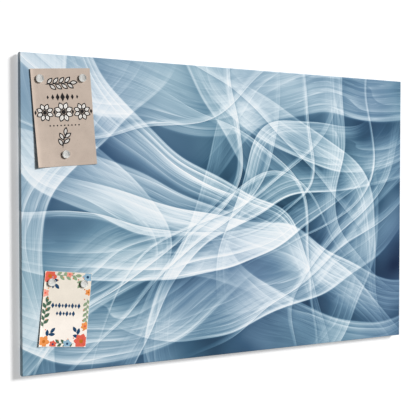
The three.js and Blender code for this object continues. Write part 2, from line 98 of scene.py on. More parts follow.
class Graph:
    """Adds and joins the nodes of one material, world or node group."""

    def __init__(self, tree: bpy.types.NodeTree) -> None:
        """Takes the tree that the nodes go into."""
        self.tree = tree

    def feed(self, socket: bpy.types.NodeSocket, value: Feed) -> None:
        """Joins a socket to another one, or sets its value.

        Args:
            socket: The input that is fed.
            value: An output to join it to, a value to set, or None to leave it.
        """
        if isinstance(value, bpy.types.NodeSocket):
            self.tree.links.new(value, socket)
        elif value is not None:
            socket.default_value = value

    def node(self, kind: str, inputs: dict[str | int, Feed] | None = None,
             **settings: object) -> bpy.types.Node:
        """Adds a shader node.

        Args:
            kind: The node's type, without its ShaderNode prefix.
            inputs: What feeds each input, by name or place.
            **settings: The node's own properties.

        Returns:
            The new node.
        """
        node = self.tree.nodes.new(f"ShaderNode{kind}")
        for name, value in settings.items():
            setattr(node, name, value)
        for key, value in (inputs or {}).items():
            self.feed(node.inputs[key], value)
        return node

    def math(self, operation: str, *values: Feed, clamp: bool = False) -> bpy.types.NodeSocket:
        """Adds a Math node and gives its result."""
        node = self.node("Math", dict(enumerate(values)), operation=operation, use_clamp=clamp)
        return node.outputs[0]

    def times(self, first: Feed, *others: Feed) -> bpy.types.NodeSocket:
        """Multiplies values, one after another.

        Args:
            first: The first value.
            *others: What it is multiplied by.

        Returns:
            The product.
        """
        for value in others:
            first = self.math("MULTIPLY", first, value)
        return first

    def vector_math(self, operation: str, *values: Feed) -> bpy.types.NodeSocket:
        """Adds a Vector Math node and gives its vector."""
        return self.node("VectorMath", dict(enumerate(values)), operation=operation).outputs[0]

    def vector(self, x: Feed = None, y: Feed = None, z: Feed = None) -> bpy.types.NodeSocket:
        """Joins values into a vector, with 0 where none is given."""
        return self.node("CombineXYZ", {0: x, 1: y, 2: z}).outputs[0]

    def parts(self, vector: Feed) -> Sockets:
        """Splits a vector into its three values."""
        return self.node("SeparateXYZ", {0: vector}).outputs

    def ramp_value(self, value: Feed, low: float, high: float, start: Feed = 0.0, end: Feed = 1.0,
                   smooth: bool = False) -> bpy.types.NodeSocket:
        """Maps a value from one range to another, held at both ends.

        Args:
            value: The value that is mapped.
            low: Where the first range starts.
            high: Where it ends.
            start: What low becomes.
            end: What high becomes.
            smooth: Whether the change eases in and out.

        Returns:
            The mapped value.
        """
        node = self.node("MapRange", {0: value, 1: low, 2: high, 3: start, 4: end},
                         interpolation_type="SMOOTHSTEP" if smooth else "LINEAR")
        return node.outputs[0]

    def uneven(self, noise: Feed, least: float, most: float) -> bpy.types.NodeSocket:
        """Maps a noise, nearly all of which lies in NOISE_SPAN, to a range of its own."""
        return self.ramp_value(noise, *NOISE_SPAN, least, most)

    def noise(self, vector: Feed, scale: Feed, detail: float = 2.0, roughness: float = 0.5,
              dimensions: str = "3D") -> bpy.types.NodeSocket:
        """Adds a Noise Texture.

        Args:
            vector: Where the noise is read.
            scale: How many swells go into a unit of length.
            detail: How many finer noises are laid over the first.
            roughness: How strong the finer ones are.
            dimensions: Whether it varies in 2D or 3D.

        Returns:
            Its value, which lies about one half.
        """
        inputs = {"Vector": vector, "Scale": scale, "Detail": detail, "Roughness": roughness}
        return self.node("TexNoise", inputs, noise_dimensions=dimensions).outputs[0]

    def colour_mix(self, factor: Feed, first: Feed, second: Feed, blend: str = "MIX") -> bpy.types.NodeSocket:
        """Mixes two colours and gives the result."""
        node = self.node("Mix", {0: factor, 6: first, 7: second}, data_type="RGBA", blend_type=blend)
        return node.outputs[2]

    def toned(self, colour: Feed, tone: Feed) -> bpy.types.NodeSocket:
        """Multiplies a colour by a tone that lies about one."""
        return self.colour_mix(1.0, colour, tone, "MULTIPLY")

    def colour_ramp(self, value: Feed, stops: Sequence[tuple[float, Colour]]) -> bpy.types.NodeSocket:
        """Turns a value into a colour.

        Args:
            value: The value, from 0 to 1.
            stops: Each stop's value and colour, in order.

        Returns:
            The colour.
        """
        node = self.node("ValToRGB", {0: value})
        ramp = node.color_ramp
        for place, _ in stops[2:]:
            ramp.elements.new(place)
        for element, (place, colour) in zip(ramp.elements, stops):
            element.position = place
            element.color = colour
        return node.outputs[0]

    def bump(self, height: Feed, distance: float, strength: float) -> bpy.types.NodeSocket:
        """Adds a Bump node and gives its normal."""
        node = self.node("Bump", {"Height": height, "Distance": distance, "Strength": strength})
        return node.outputs[0]

    def place(self) -> bpy.types.NodeSocket:
        """Gives the place on the object, in metres."""
        return self.node("TexCoord").outputs["Object"]

    def group(self, shared: SharedGroup, **inputs: Feed) -> Sockets:
        """Adds a shared node group with its own values, built on its first use.

        Args:
            shared: Which group it is.
            **inputs: What feeds each of its inputs.

        Returns:
            The group's outputs.
        """
        tree = bpy.data.node_groups.get(shared.value) or BUILDERS[shared]()
        return self.node("Group", dict(inputs), node_tree=tree).outputs


def start_group(shared: SharedGroup, inputs: dict[str, float | tuple], outputs: Sequence[str],
                result_kind: str = "NodeSocketFloat") -> tuple[Graph, Sockets, Sockets]:
    """Starts a shared node group.

    Args:
        shared: Which group it is.
        inputs: The name and the default of each input: a number or a vector.
        outputs: The name of each output.
        result_kind: What sort of socket the outputs are.

    Returns:
        The graph to build in, what the group is given, and what it puts out.
    """
    tree = bpy.data.node_groups.new(shared.value, "ShaderNodeTree")
    for name, default in inputs.items():
        kind = "NodeSocketFloat" if isinstance(default, float) else "NodeSocketVector"
        tree.interface.new_socket(name=name, in_out="INPUT", socket_type=kind).default_value = default
    for name in outputs:
        tree.interface.new_socket(name=name, in_out="OUTPUT", socket_type=result_kind)
    given = tree.nodes.new("NodeGroupInput")
    result = tree.nodes.new("NodeGroupOutput")
    return Graph(tree), given.outputs, result.inputs


def about_one(graph: Graph, value: Feed, contrast: Feed) -> bpy.types.NodeSocket:
    """Turns a value that lies about one half into a tone about one."""
    return graph.math("ADD", graph.times(graph.math("SUBTRACT", value, 0.5), contrast), 1.0)


def build_grain() -> bpy.types.NodeTree:
    """Builds fine uneven grain.

    Returns:
        The group, which gives a tone about one and a height about one half.
    """
    graph, given, result = start_group(
        SharedGroup.GRAIN, {"Position": (0.0, 0.0, 0.0), "Scale": 500.0, "Contrast": 0.1},
        ("Tone", "Height"))
    fine = graph.noise(given["Position"], given["Scale"], 4.0, 0.65)
    graph.feed(result["Tone"], about_one(graph, fine, given["Contrast"]))
    graph.feed(result["Height"], fine)
    return graph.tree


def build_spangle() -> bpy.types.NodeTree:
    """Builds the crystals of a zinc coat, whose outlines waver by a few millimetres.

    Returns:
        The group, which gives a tone about one for each crystal, and its rise.
    """
    graph, given, result = start_group(
        SharedGroup.SPANGLE, {"Position": (0.0, 0.0, 0.0), "Scale": 120.0, "Contrast": 0.3},
        ("Tone", "Height"))
    waver = graph.times(graph.noise(given["Position"], 90.0), 10 * MM)
    bent = graph.vector_math("ADD", given["Position"], waver)
    cells = graph.node("TexVoronoi", {"Vector": bent, "Scale": given["Scale"]}, feature="F1")
    shade = graph.node("SeparateColor", {0: cells.outputs["Color"]}).outputs[0]
    graph.feed(result["Tone"], about_one(graph, shade, given["Contrast"]))
    graph.feed(result["Height"], cells.outputs["Distance"])
    return graph.tree


def build_scuffs() -> bpy.types.NodeTree:
    """Builds sparse fine scratches that run one way and lie in patches.

    Returns:
        The group, which gives a mask from 0 to 1.
    """
    graph, given, result = start_group(
        SharedGroup.SCUFFS, {"Position": (0.0, 0.0, 0.0), "Stretch": (900.0, 40.0, 900.0), "Amount": 0.5},
        ("Mask",))
    drawn = graph.vector_math("MULTIPLY", given["Position"], given["Stretch"])
    lines = graph.ramp_value(graph.noise(drawn, 1.0, 3.0, 0.6), 0.6, 0.72)
    patches = graph.ramp_value(graph.noise(given["Position"], 35.0), 0.4, 0.7)
    graph.feed(result["Mask"], graph.times(lines, patches, given["Amount"]))
    return graph.tree


@dataclass(frozen=True)
class VeilCloth:
    """The shared effect of one silky veil, laid over what is under it.

    The veil runs along a curve. It has a bright hem on one side, folds and threads that run with
    it, and a soft shadow in front of the hem. The canvas holds the place on the flat print in its
    first two values and the light laid there so far in its third, so each veil waits for the last.
    Places along the veil are shares of its reach, and places beside its hem shares of its width.
    """

    wave: float = 3.6
    wave_share: float = 0.38
    least_spread: float = 0.05
    drift_stretch: float = 1.3
    drift_scale: float = 1.4
    fold_drift: float = 3.4
    fold_crowding: float = 0.7
    fold_edge: float = 22.0
    fold_fall: float = -2.6
    fold_light: Span = (0.2, 1.2)
    fold_share: float = 0.72
    plain_share: float = 0.3
    threads_a_fold: float = 4.0
    thread_stretch: float = 1.4
    thread_span: Span = (0.32, 0.68)
    thread_light: Span = (0.68, 1.24)
    hair_fall: float = -55.0
    hair_share: float = 0.26
    cloth_start: float = 0.03
    cloth_fade: Span = (0.35, 1.0)
    hem_front: float = -34.0
    hem_back: float = 110.0
    hem_span: Span = (0.35, 0.65)
    hem_light: Span = (0.5, 1.2)
    end_fade: float = 1.3
    shadow_fall: float = -2.4

    def build(self) -> bpy.types.NodeTree:
        """Builds the group.

        Returns:
            The group, which gives the canvas with this veil on it.
        """
        graph, given, result = start_group(SharedGroup.VEIL, {
            "Canvas": (0.0, 0.0, 0.0), "Place": (0.0, 0.0, 0.0), "Turn": (0.0, 0.0, 0.0),
            "Reach": (1.0, 1.0, 1.0), "Bend": 0.0, "Sway": 0.0, "Width": 1.0, "Flare": 0.0,
            "Folds": 4.0, "Strength": 0.6, "Shade": 0.3, "Seed": 0.0,
        }, ("Canvas",), "NodeSocketVector")
        x, z, laid = graph.parts(given["Canvas"])
        local = graph.node("Mapping", {"Vector": given["Canvas"], "Location": given["Place"],
                                       "Rotation": given["Turn"], "Scale": given["Reach"]},
                           vector_type="TEXTURE")
        along, across, _ = graph.parts(local.outputs[0])
        squared = graph.times(along, along)
        side = self.beside_hem(graph, given, along, squared, across)
        wander = graph.vector(graph.math("ADD", along, given["Seed"]), graph.times(side, self.drift_stretch))
        drift = graph.noise(wander, self.drift_scale, 1.0, 0.5, "2D")
        silk = graph.math("ADD", self.cloth(graph, given, along, side, drift), self.hem(graph, side, drift))
        fade = graph.math("POWER", graph.math("SUBTRACT", 1.0, squared, clamp=True), self.end_fade)
        light = graph.math("MULTIPLY", graph.times(silk, fade), given["Strength"], clamp=True)
        front = graph.math("EXPONENT", graph.times(graph.math("ABSOLUTE", side), self.shadow_fall))
        shadow = graph.times(front, graph.math("LESS_THAN", side, 0.0), graph.times(fade, given["Shade"]))
        under = graph.times(laid, graph.math("SUBTRACT", 1.0, shadow))
        over = graph.math("MULTIPLY_ADD", graph.math("SUBTRACT", 1.0, under), light, under)
        graph.feed(result["Canvas"], graph.vector(x, z, over))
        return graph.tree

    def beside_hem(self, graph: Graph, given: Sockets, along: Feed, squared: Feed,
                   across: Feed) -> bpy.types.NodeSocket:
        """Gives how far a place lies beside the curving hem.

        Args:
            graph: The group's graph.
            given: What the group is given.
            along: The place along the veil.
            squared: Its square.
            across: The place across it, in decimetres.

        Returns:
            The place beside the hem, above 0 on the cloth.
        """
        wave = graph.math("SINE", graph.math("MULTIPLY_ADD", along, self.wave, given["Seed"]))
        bend = graph.math("MULTIPLY_ADD", given["Sway"], along, given["Bend"])
        rise = graph.math("MULTIPLY_ADD", bend, squared, graph.times(wave, given["Sway"], self.wave_share))
        spread = graph.math("MAXIMUM", graph.math("MULTIPLY_ADD", given["Flare"], along, 1.0),
                            self.least_spread)
        return graph.math("DIVIDE", graph.math("SUBTRACT", across, rise), graph.times(given["Width"], spread))

    def cloth(self, graph: Graph, given: Sockets, along: Feed, side: Feed,
              drift: Feed) -> bpy.types.NodeSocket:
        """Gives the light of the cloth, from its folds, its threads and a few bright hairs.

        Args:
            graph: The group's graph.
            given: What the group is given.
            along: The place along the veil.
            side: The place beside its hem.
            drift: A slow noise that unsettles the folds.

        Returns:
            The light, 0 off the cloth.
        """
        inner = graph.math("POWER", graph.math("MAXIMUM", side, 0.0), self.fold_crowding)
        count = graph.math("ADD", graph.times(inner, given["Folds"]), graph.times(drift, self.fold_drift))
        fold = graph.math("FRACT", count)
        number = graph.math("ADD", graph.math("FLOOR", count), given["Seed"])
        chance = graph.node("TexWhiteNoise", {"W": number}, noise_dimensions="1D").outputs[0]
        edge = graph.math("MULTIPLY", fold, self.fold_edge, clamp=True)
        falling = graph.math("EXPONENT", graph.times(fold, self.fold_fall))
        pleats = graph.times(edge, falling, graph.ramp_value(chance, 0.0, 1.0, *self.fold_light))

        thread_count = graph.times(given["Folds"], self.threads_a_fold)
        lines = graph.vector(graph.math("MULTIPLY_ADD", inner, thread_count, given["Seed"]),
                             graph.times(along, self.thread_stretch))
        weave = graph.noise(lines, 1.0, 3.0, 0.65, "2D")
        threads = graph.ramp_value(weave, *self.thread_span, *self.thread_light)
        off_middle = graph.math("ABSOLUTE", graph.math("SUBTRACT", weave, 0.5))
        hairs = graph.math("EXPONENT", graph.times(off_middle, self.hair_fall))
        inside = graph.times(graph.ramp_value(side, 0.0, self.cloth_start, smooth=True),
                             graph.ramp_value(side, *self.cloth_fade, 1.0, 0.0, smooth=True))
        woven = graph.times(threads, graph.math("MULTIPLY_ADD", pleats, self.fold_share, self.plain_share))
        return graph.times(inside, graph.math("MULTIPLY_ADD", hairs, self.hair_share, woven))

    def hem(self, graph: Graph, side: Feed, drift: Feed) -> bpy.types.NodeSocket:
        """Gives the light of the bright hem, which is sharp toward its front.

        Args:
            graph: The group's graph.
            side: The place beside the hem.
            drift: A slow noise that makes the hem brighter and fainter.

        Returns:
            The light.
        """
        sharp = graph.math("MINIMUM", graph.times(side, self.hem_front), graph.times(side, self.hem_back))
        return graph.times(graph.math("EXPONENT", sharp),
                           graph.ramp_value(drift, *self.hem_span, *self.hem_light))


BUILDERS = {
    SharedGroup.GRAIN: build_grain,
    SharedGroup.SPANGLE: build_spangle,
    SharedGroup.SCUFFS: build_scuffs,
    SharedGroup.VEIL: VeilCloth().build,
}


def blank_material(name: str) -> tuple[bpy.types.Material, Graph]:
    """Makes a material with no nodes in it yet.

    Args:
        name: The material's name.

    Returns:
        The material and its graph.
    """
    material = bpy.data.materials.new(name)
    material.use_nodes = True
    material.node_tree.nodes.clear()
    return material, Graph(material.node_tree)


@dataclass(frozen=True)
class Finish:
    """A surface finish, with the record's material slot that it stands for."""

    name: str
    slot: str

    def material(self) -> bpy.types.Material:
        """Gives the finish as a node material, built on its first use.

        Returns:
            The material.
        """
        known = bpy.data.materials.get(self.name)
        if known is not None:
            return known
        material, graph = blank_material(self.name)
        shader = graph.node("BsdfPrincipled", self.paint(graph))
        graph.node("OutputMaterial", {"Surface": shader.outputs[0]})
        return material

    def paint(self, graph: Graph) -> dict[str, Feed]:
        """Gives what feeds each of the shader's inputs."""
        raise NotImplementedError


@dataclass(frozen=True)
class Veil:
    """One veil of the print. Lengths are in decimetres from the middle of the board."""

    x: float
    z: float
    turn: float
    reach: float
    bend: float
    sway: float
    width: float
    flare: float
    folds: float
    strength: float
    shade: float


VEILS = (
    Veil(-2.6, 1.9, -22, 4.6, 2.2, 0.3, 2.0, 0.2, 5, 0.78, 0.3),
    Veil(-3.4, 0.2, -30, 4.2, 1.9, 0.3, 1.3, 0.3, 5, 0.65, 0.4),
    Veil(2.3, 2.3, 8, 3.8, -1.5, 0.3, 1.5, 0.2, 5, 0.76, 0.4),
    Veil(2.0, 0.9, -12, 4.0, 2.4, 0.4, 1.1, -0.2, 6, 0.62, 0.5),
    Veil(-2.6, -1.5, 16, 3.6, -1.9, 0.3, 1.6, 0.3, 6, 0.7, 0.45),
    Veil(-3.0, -2.7, -2, 4.2, 1.6, 0.2, 1.5, 0.4, 6, 0.75, 0.45),
    Veil(3.0, -0.9, 38, 3.8, 0.8, -0.6, 1.5, 0.2, 6, 0.42, 0.25),
    Veil(-0.6, 1.7, -56, 3.4, 0.9, 0.5, 1.3, 0.2, 6, 0.42, 0.25),
    Veil(3.4, -1.9, 76, 3.4, 1.3, -0.8, 0.9, 0.5, 5, 0.5, 0.5),
    Veil(2.2, -2.4, 158, 3.4, -1.9, 0.4, 1.2, 0.4, 6, 0.55, 0.5),
    Veil(-2.2, 0.9, 112, 3.8, 1.1, -1.2, 0.9, 0.5, 6, 0.7, 0.45),
    Veil(-1.6, -0.6, 248, 3.4, 1.2, 0.9, 0.6, 0.5, 5, 0.7, 0.45),
    Veil(0.2, 0.1, 148, 5.8, 0.9, 0.9, 1.0, 0.4, 7, 0.92, 0.6),
    Veil(0.6, -0.6, 157, 5.6, -0.9, 1.1, 0.8, -0.5, 7, 0.96, 0.6),
    Veil(-0.2, 0.8, 139, 5.2, 0.9, -1.0, 0.6, 0.6, 6, 0.92, 0.5),
    Veil(0.4, -0.4, 28, 5.4, -1.6, 0.8, 0.7, 0.5, 6, 0.8, 0.5),
    Veil(-0.4, -1.2, 16, 5.2, 1.7, -0.6, 0.8, -0.4, 6, 0.85, 0.55),
    Veil(3.1, 0.7, 118, 3.6, 1.1, 0.8, 0.7, 0.6, 5, 0.62, 0.45),
    Veil(2.5, 1.0, 96, 3.4, -1.6, 0.7, 0.6, 0.5, 5, 0.6, 0.45),
    Veil(-3.6, 0.2, 62, 3.6, -1.1, 0.7, 1.0, 0.3, 6, 0.62, 0.4),
    Veil(1.0, -2.4, 6, 4.2, 1.5, 0.6, 0.9, 0.5, 6, 0.8, 0.5),
    Veil(0.8, 1.5, 212, 2.8, 1.4, 0.9, 0.5, 0.4, 5, 0.8, 0.45),
    Veil(0.9, 2.0, -34, 4.4, -1.7, 0.6, 0.16, 0.5, 2, 0.8, 0.25),
    Veil(-0.8, -0.9, 42, 4.4, 1.5, 0.7, 0.14, 0.5, 2, 0.9, 0.25),
    Veil(1.4, 0.4, 128, 4.0, 1.9, -0.5, 0.12, 0.4, 2, 0.9, 0.25),
    Veil(-2.4, -0.4, 166, 4.2, -1.6, 0.8, 0.14, 0.4, 2, 0.8, 0.25),
    Veil(2.6, -0.6, 54, 3.6, -1.1, 0.9, 0.2, 0.6, 3, 0.7, 0.25),
    Veil(-0.2, 1.2, 74, 3.2, 0.8, -0.9, 0.18, 0.6, 3, 0.8, 0.25),
    Veil(2.2, -1.6, 20, 3.8, 0.9, 0.9, 0.16, 0.5, 3, 0.75, 0.25),
    Veil(0.5, 0.5, 176, 3.0, 2.4, 1.0, 0.14, 0.6, 2, 0.85, 0.2),
    Veil(-0.6, 0.2, 34, 4.6, -1.2, 1.1, 0.1, 0.5, 2, 0.85, 0.2),
    Veil(1.6, 0.8, 62, 3.2, 1.8, -0.9, 0.12, 0.5, 2, 0.8, 0.2),
    Veil(-1.6, 1.6, 8, 4.2, 2.2, 0.5, 0.14, 0.4, 2, 0.8, 0.2),
    Veil(3.2, 0.6, 50, 3.4, 1.6, 1.0, 0.1, 0.5, 2, 0.75, 0.2),
    Veil(-2.8, -1.2, 40, 3.8, -1.4, 0.9, 0.12, 0.5, 2, 0.8, 0.2),
)

PRINT_TONES = (
    (0.0, srgb(22, 42, 66)), (0.14, srgb(62, 92, 118)), (0.32, srgb(108, 140, 164)),
    (0.54, srgb(162, 187, 203)), (0.76, srgb(218, 231, 239)), (1.0, srgb(255, 255, 255)),
)


@dataclass(frozen=True)
class SilkPrint(Finish):
    """Printed satin film: pale silky veils over slate blue, carried round the edges.

    Sizes are in metres, scales on the flat print count by the decimetre, and light goes from 0 to 1.
    """

    half_width: float = 0.450
    half_height: float = 0.300
    front: float = -0.019
    side_margin: float = 0.5 * MM
    decimetre: float = 0.1
    cloud_scale: float = 0.42
    cloud_light: Span = (-0.2, 0.22)
    ground_light: float = 0.297
    light_across: float = -0.035
    light_up: float = 0.02
    seed_step: float = 17.3
    drift: float = 1.35
    drift_scale: float = 0.28
    hue_scale: float = 0.3
    hues: Span = (0.486, 0.51)
    saturation: float = 1.05
    grain_scale: float = 2600.0
    grain_contrast: float = 0.05
    gloss_scale: float = 30.0
    roughness: Span = (0.44, 0.54)
    specular: float = 0.2
    rise: float = 0.01 * MM
    bump: float = 0.5

    def unrolled(self, graph: Graph) -> bpy.types.NodeSocket:
        """Lays the wrapped film out flat.

        Args:
            graph: The material's graph.

        Returns:
            The place on the flat print, in decimetres.
        """
        place = graph.parts(graph.place())
        depth = graph.math("SUBTRACT", place[1], self.front)
        flat = []
        for value, half in ((place[0], self.half_width), (place[2], self.half_height)):
            on_side = graph.math("GREATER_THAN", graph.math("ABSOLUTE", value), half - self.side_margin)
            outward = graph.times(graph.math("SIGN", value), graph.times(on_side, depth))
            flat.append(graph.math("DIVIDE", graph.math("ADD", value, outward), self.decimetre))
        return graph.vector(*flat)

    def ground(self, graph: Graph, spot: Feed, x: Feed, z: Feed) -> bpy.types.NodeSocket:
        """Gives the light of the plain ground under the veils, which is paler toward the upper left.

        Args:
            graph: The material's graph.
            spot: The place on the flat print.
            x: Its first value.
            z: Its second value.

        Returns:
            The light, from 0 to 1.
        """
        slope = graph.math("MULTIPLY_ADD", x, self.light_across, self.ground_light)
        slope = graph.math("MULTIPLY_ADD", z, self.light_up, slope)
        clouds = graph.uneven(graph.noise(spot, self.cloud_scale, 2.0, 0.55), *self.cloud_light)
        return graph.math("ADD", clouds, slope, clamp=True)

    def density(self, graph: Graph, spot: Feed) -> bpy.types.NodeSocket:
        """Lays the veils over the ground, one after another.

        Args:
            graph: The material's graph.
            spot: The place on the flat print.

        Returns:
            How much light the veils carry: 0 in the gaps, 1 where they are white.
        """
        x, z, _ = graph.parts(spot)
        canvas = graph.vector(x, z)
        drift = graph.node("TexNoise", {"Vector": canvas, "Scale": self.drift_scale, "Detail": 1.0})
        drift = graph.vector_math("SUBTRACT", drift.outputs["Color"], (0.5, 0.5, 0.5))
        canvas = graph.vector_math("MULTIPLY_ADD", drift, (self.drift, self.drift, 0.0), canvas)
        canvas = graph.vector_math("ADD", canvas, graph.vector(z=self.ground(graph, spot, x, z)))
        for number, veil in enumerate(VEILS):
            canvas = graph.group(
                SharedGroup.VEIL, Canvas=canvas, Place=(veil.x, veil.z, 0.0),
                Turn=(0.0, 0.0, math.radians(veil.turn)), Reach=(veil.reach, 1.0, 1.0), Bend=veil.bend,
                Sway=veil.sway, Width=veil.width, Flare=veil.flare, Folds=veil.folds,
                Strength=veil.strength, Shade=veil.shade, Seed=number * self.seed_step)[0]
        return graph.parts(canvas)[2]

    def paint(self, graph: Graph) -> dict[str, Feed]:
        """Prints the veils and gives the film its satin face.

        Args:
            graph: The material's graph.

        Returns:
            What feeds each of the shader's inputs.
        """
        place = graph.place()
        spot = self.unrolled(graph)
        blue = graph.colour_ramp(self.density(graph, spot), PRINT_TONES)
        hue = graph.uneven(graph.noise(spot, self.hue_scale, 1.0), *self.hues)
        tinted = graph.node("HueSaturation", {"Hue": hue, "Saturation": self.saturation, "Color": blue})
        grain = graph.group(SharedGroup.GRAIN, Position=place, Scale=self.grain_scale,
                            Contrast=self.grain_contrast)
        return {
            "Base Color": graph.toned(tinted.outputs[0], grain["Tone"]),
            "Roughness": graph.uneven(graph.noise(place, self.gloss_scale), *self.roughness),
            "Specular IOR Level": self.specular,
            "Normal": graph.bump(grain["Height"], self.rise, self.bump),
        }


@dataclass(frozen=True)
class SheetMetal(Finish):
    """Rolled sheet under a zinc coat or a thin paint. Lengths are in metres."""

    colour: Colour
    metallic: float
    roughness: float
    spangle: float
    crystal_scale: float
    worn: Colour = srgb(226, 228, 230)
    wear: float = 0.35
    cloud_scale: float = 18.0
    roughness_play: Span = (-0.08, 0.1)
    rise: float = 0.05 * MM
    bump: float = 0.4

    def paint(self, graph: Graph) -> dict[str, Feed]:
        """Lays crystals, uneven gloss and a few scuffs over the sheet.

        Args:
            graph: The material's graph.

        Returns:
            What feeds each of the shader's inputs.
        """
        place = graph.place()
        crystals = graph.group(SharedGroup.SPANGLE, Position=place, Scale=self.crystal_scale,
                               Contrast=self.spangle)
        scuffs = graph.group(SharedGroup.SCUFFS, Position=place, Amount=self.wear)
        toned = graph.toned(self.colour, crystals["Tone"])
        clouds = graph.noise(place, self.cloud_scale, 3.0)
        return {
            "Base Color": graph.colour_mix(scuffs["Mask"], toned, self.worn),
            "Roughness": graph.uneven(clouds, *(self.roughness + play for play in self.roughness_play)),
            "Metallic": self.metallic,
            "Normal": graph.bump(crystals["Height"], self.rise, self.bump),
        }


@dataclass(frozen=True)
class Elastic(Finish):
    """Rubber or closed-cell foam: dark, matt and fine-celled. Lengths are in metres."""

    colour: Colour
    cell_scale: float
    rise: float
    cell_contrast: float = 0.5
    bloom_colour: Colour = srgb(120, 122, 124)
    bloom_scale: float = 60.0
    bloom_span: Span = (0.5, 0.8)
    bloom: float = 0.25
    roughness: Span = (0.72, 0.92)
    bump: float = 0.6

    def paint(self, graph: Graph) -> dict[str, Feed]:
        """Gives the surface its cells and a dusting of paler bloom.

        Args:
            graph: The material's graph.

        Returns:
            What feeds each of the shader's inputs.
        """
        place = graph.place()
        grain = graph.group(SharedGroup.GRAIN, Position=place, Scale=self.cell_scale,
                            Contrast=self.cell_contrast)
        bloom = graph.ramp_value(graph.noise(place, self.bloom_scale, 3.0), *self.bloom_span, 0.0, self.bloom)
        toned = graph.toned(self.colour, grain["Tone"])
        return {
            "Base Color": graph.colour_mix(bloom, toned, self.bloom_colour),
            "Roughness": graph.uneven(grain["Height"], *self.roughness),
            "Normal": graph.bump(grain["Height"], self.rise, self.bump),
        }


@dataclass(frozen=True)
class CardPaper(Finish):
    """Uncoated card: fibres, mottling, flecks on recycled stock, and a printed wash from foot to head.

    Lengths are in metres, and the wash runs between two heights on the board.
    """

    foot: Colour
    head: Colour
    flecks: float
    mottle: float
    wash: Span = (-0.208, -0.168)
    mottle_scale: float = 45.0
    fibre_stretch: tuple[float, float, float] = (900.0, 900.0, 260.0)
    fibre_tone: Span = (0.97, 1.03)
    fleck_colour: Colour = srgb(120, 98, 84)
    fleck_scale: float = 700.0
    fleck_span: Span = (0.68, 0.74)
    roughness: Span = (0.82, 0.94)
    specular: float = 0.25
    rise: float = 0.03 * MM
    bump: float = 0.6

    def paint(self, graph: Graph) -> dict[str, Feed]:
        """Gives the card its wash, mottling, fibres and flecks.

        Args:
            graph: The material's graph.

        Returns:
            What feeds each of the shader's inputs.
        """
        place = graph.place()
        level = graph.ramp_value(graph.parts(place)[2], *self.wash, smooth=True)
        clouds = graph.noise(place, self.mottle_scale, 3.0)
        toned = graph.toned(graph.colour_mix(level, self.foot, self.head),
                            graph.uneven(clouds, 1 - self.mottle, 1 + self.mottle))
        fibres = graph.noise(graph.vector_math("MULTIPLY", place, self.fibre_stretch), 1.0, 4.0, 0.6)
        toned = graph.toned(toned, graph.uneven(fibres, *self.fibre_tone))
        specks = graph.noise(place, self.fleck_scale, 1.0)
        fleck = graph.ramp_value(specks, *self.fleck_span, 0.0, self.flecks)
        return {
            "Base Color": graph.colour_mix(fleck, toned, self.fleck_colour),
            "Roughness": graph.uneven(fibres, *self.roughness),
            "Specular IOR Level": self.specular,
            "Normal": graph.bump(fibres, self.rise, self.bump),
        }


@dataclass(frozen=True)
class PrintInk(Finish):
    """Ink laid on card, a little uneven in its depth."""

    colour: Colour
    grain_scale: float = 1400.0
    grain_contrast: float = 0.2
    cloud_scale: float = 160.0
    cloud_tone: Span = (0.92, 1.1)
    roughness: Span = (0.68, 0.84)
    specular: float = 0.3

    def paint(self, graph: Graph) -> dict[str, Feed]:
        """Gives the ink its slightly broken solid.

        Args:
            graph: The material's graph.

        Returns:
            What feeds each of the shader's inputs.
        """
        place = graph.place()
        grain = graph.group(SharedGroup.GRAIN, Position=place, Scale=self.grain_scale,
                            Contrast=self.grain_contrast)
        clouds = graph.uneven(graph.noise(place, self.cloud_scale), *self.cloud_tone)
        return {
            "Base Color": graph.toned(graph.toned(self.colour, grain["Tone"]), clouds),
            "Roughness": graph.uneven(grain["Height"], *self.roughness),
            "Specular IOR Level": self.specular,
        }


@dataclass(frozen=True)
class TurnedMetal(Finish):
    """Plated or bare metal with turning marks, which follow the piece's own UV map of angle and radius.

    The marks' stretch counts by the turn and by the metre. Lengths are in metres.
    """

    colour: Colour
    roughness: float
    ring_scale: float
    marks_a_turn: float = 3.0
    ring_tone: Span = (0.9, 1.07)
    stain_scale: float = 420.0
    stain_tone: Span = (0.86, 1.06)
    roughness_play: Span = (-0.06, 0.1)
    scratch_stretch: tuple[float, float, float] = (3000.0, 900.0, 700.0)
    scratches: float = 0.5
    scratch_roughness: float = 0.25
    rise: float = 0.012 * MM
    bump: float = 0.7

    def paint(self, graph: Graph) -> dict[str, Feed]:
        """Gives the metal its turning marks, stains and fine handling scratches.

        Args:
            graph: The material's graph.

        Returns:
            What feeds each of the shader's inputs.
        """
        place = graph.place()
        turning = graph.node("UVMap", uv_map=TURNING_MAP).outputs[0]
        stretched = graph.vector_math("MULTIPLY", turning, (self.marks_a_turn, self.ring_scale, 1.0))
        rings = graph.noise(stretched, 1.0, 3.0, 0.65, "2D")
        stains = graph.noise(place, self.stain_scale, 3.0)
        scuffs = graph.group(SharedGroup.SCUFFS, Position=place, Stretch=self.scratch_stretch,
                             Amount=self.scratches)
        toned = graph.toned(self.colour, graph.uneven(stains, *self.stain_tone))
        gloss = graph.uneven(stains, *(self.roughness + play for play in self.roughness_play))
        return {
            "Base Color": graph.toned(toned, graph.uneven(rings, *self.ring_tone)),
            "Roughness": graph.math("ADD", gloss, graph.times(scuffs["Mask"], self.scratch_roughness)),
            "Metallic": 1.0,
            "Normal": graph.bump(rings, self.rise, self.bump),
        }


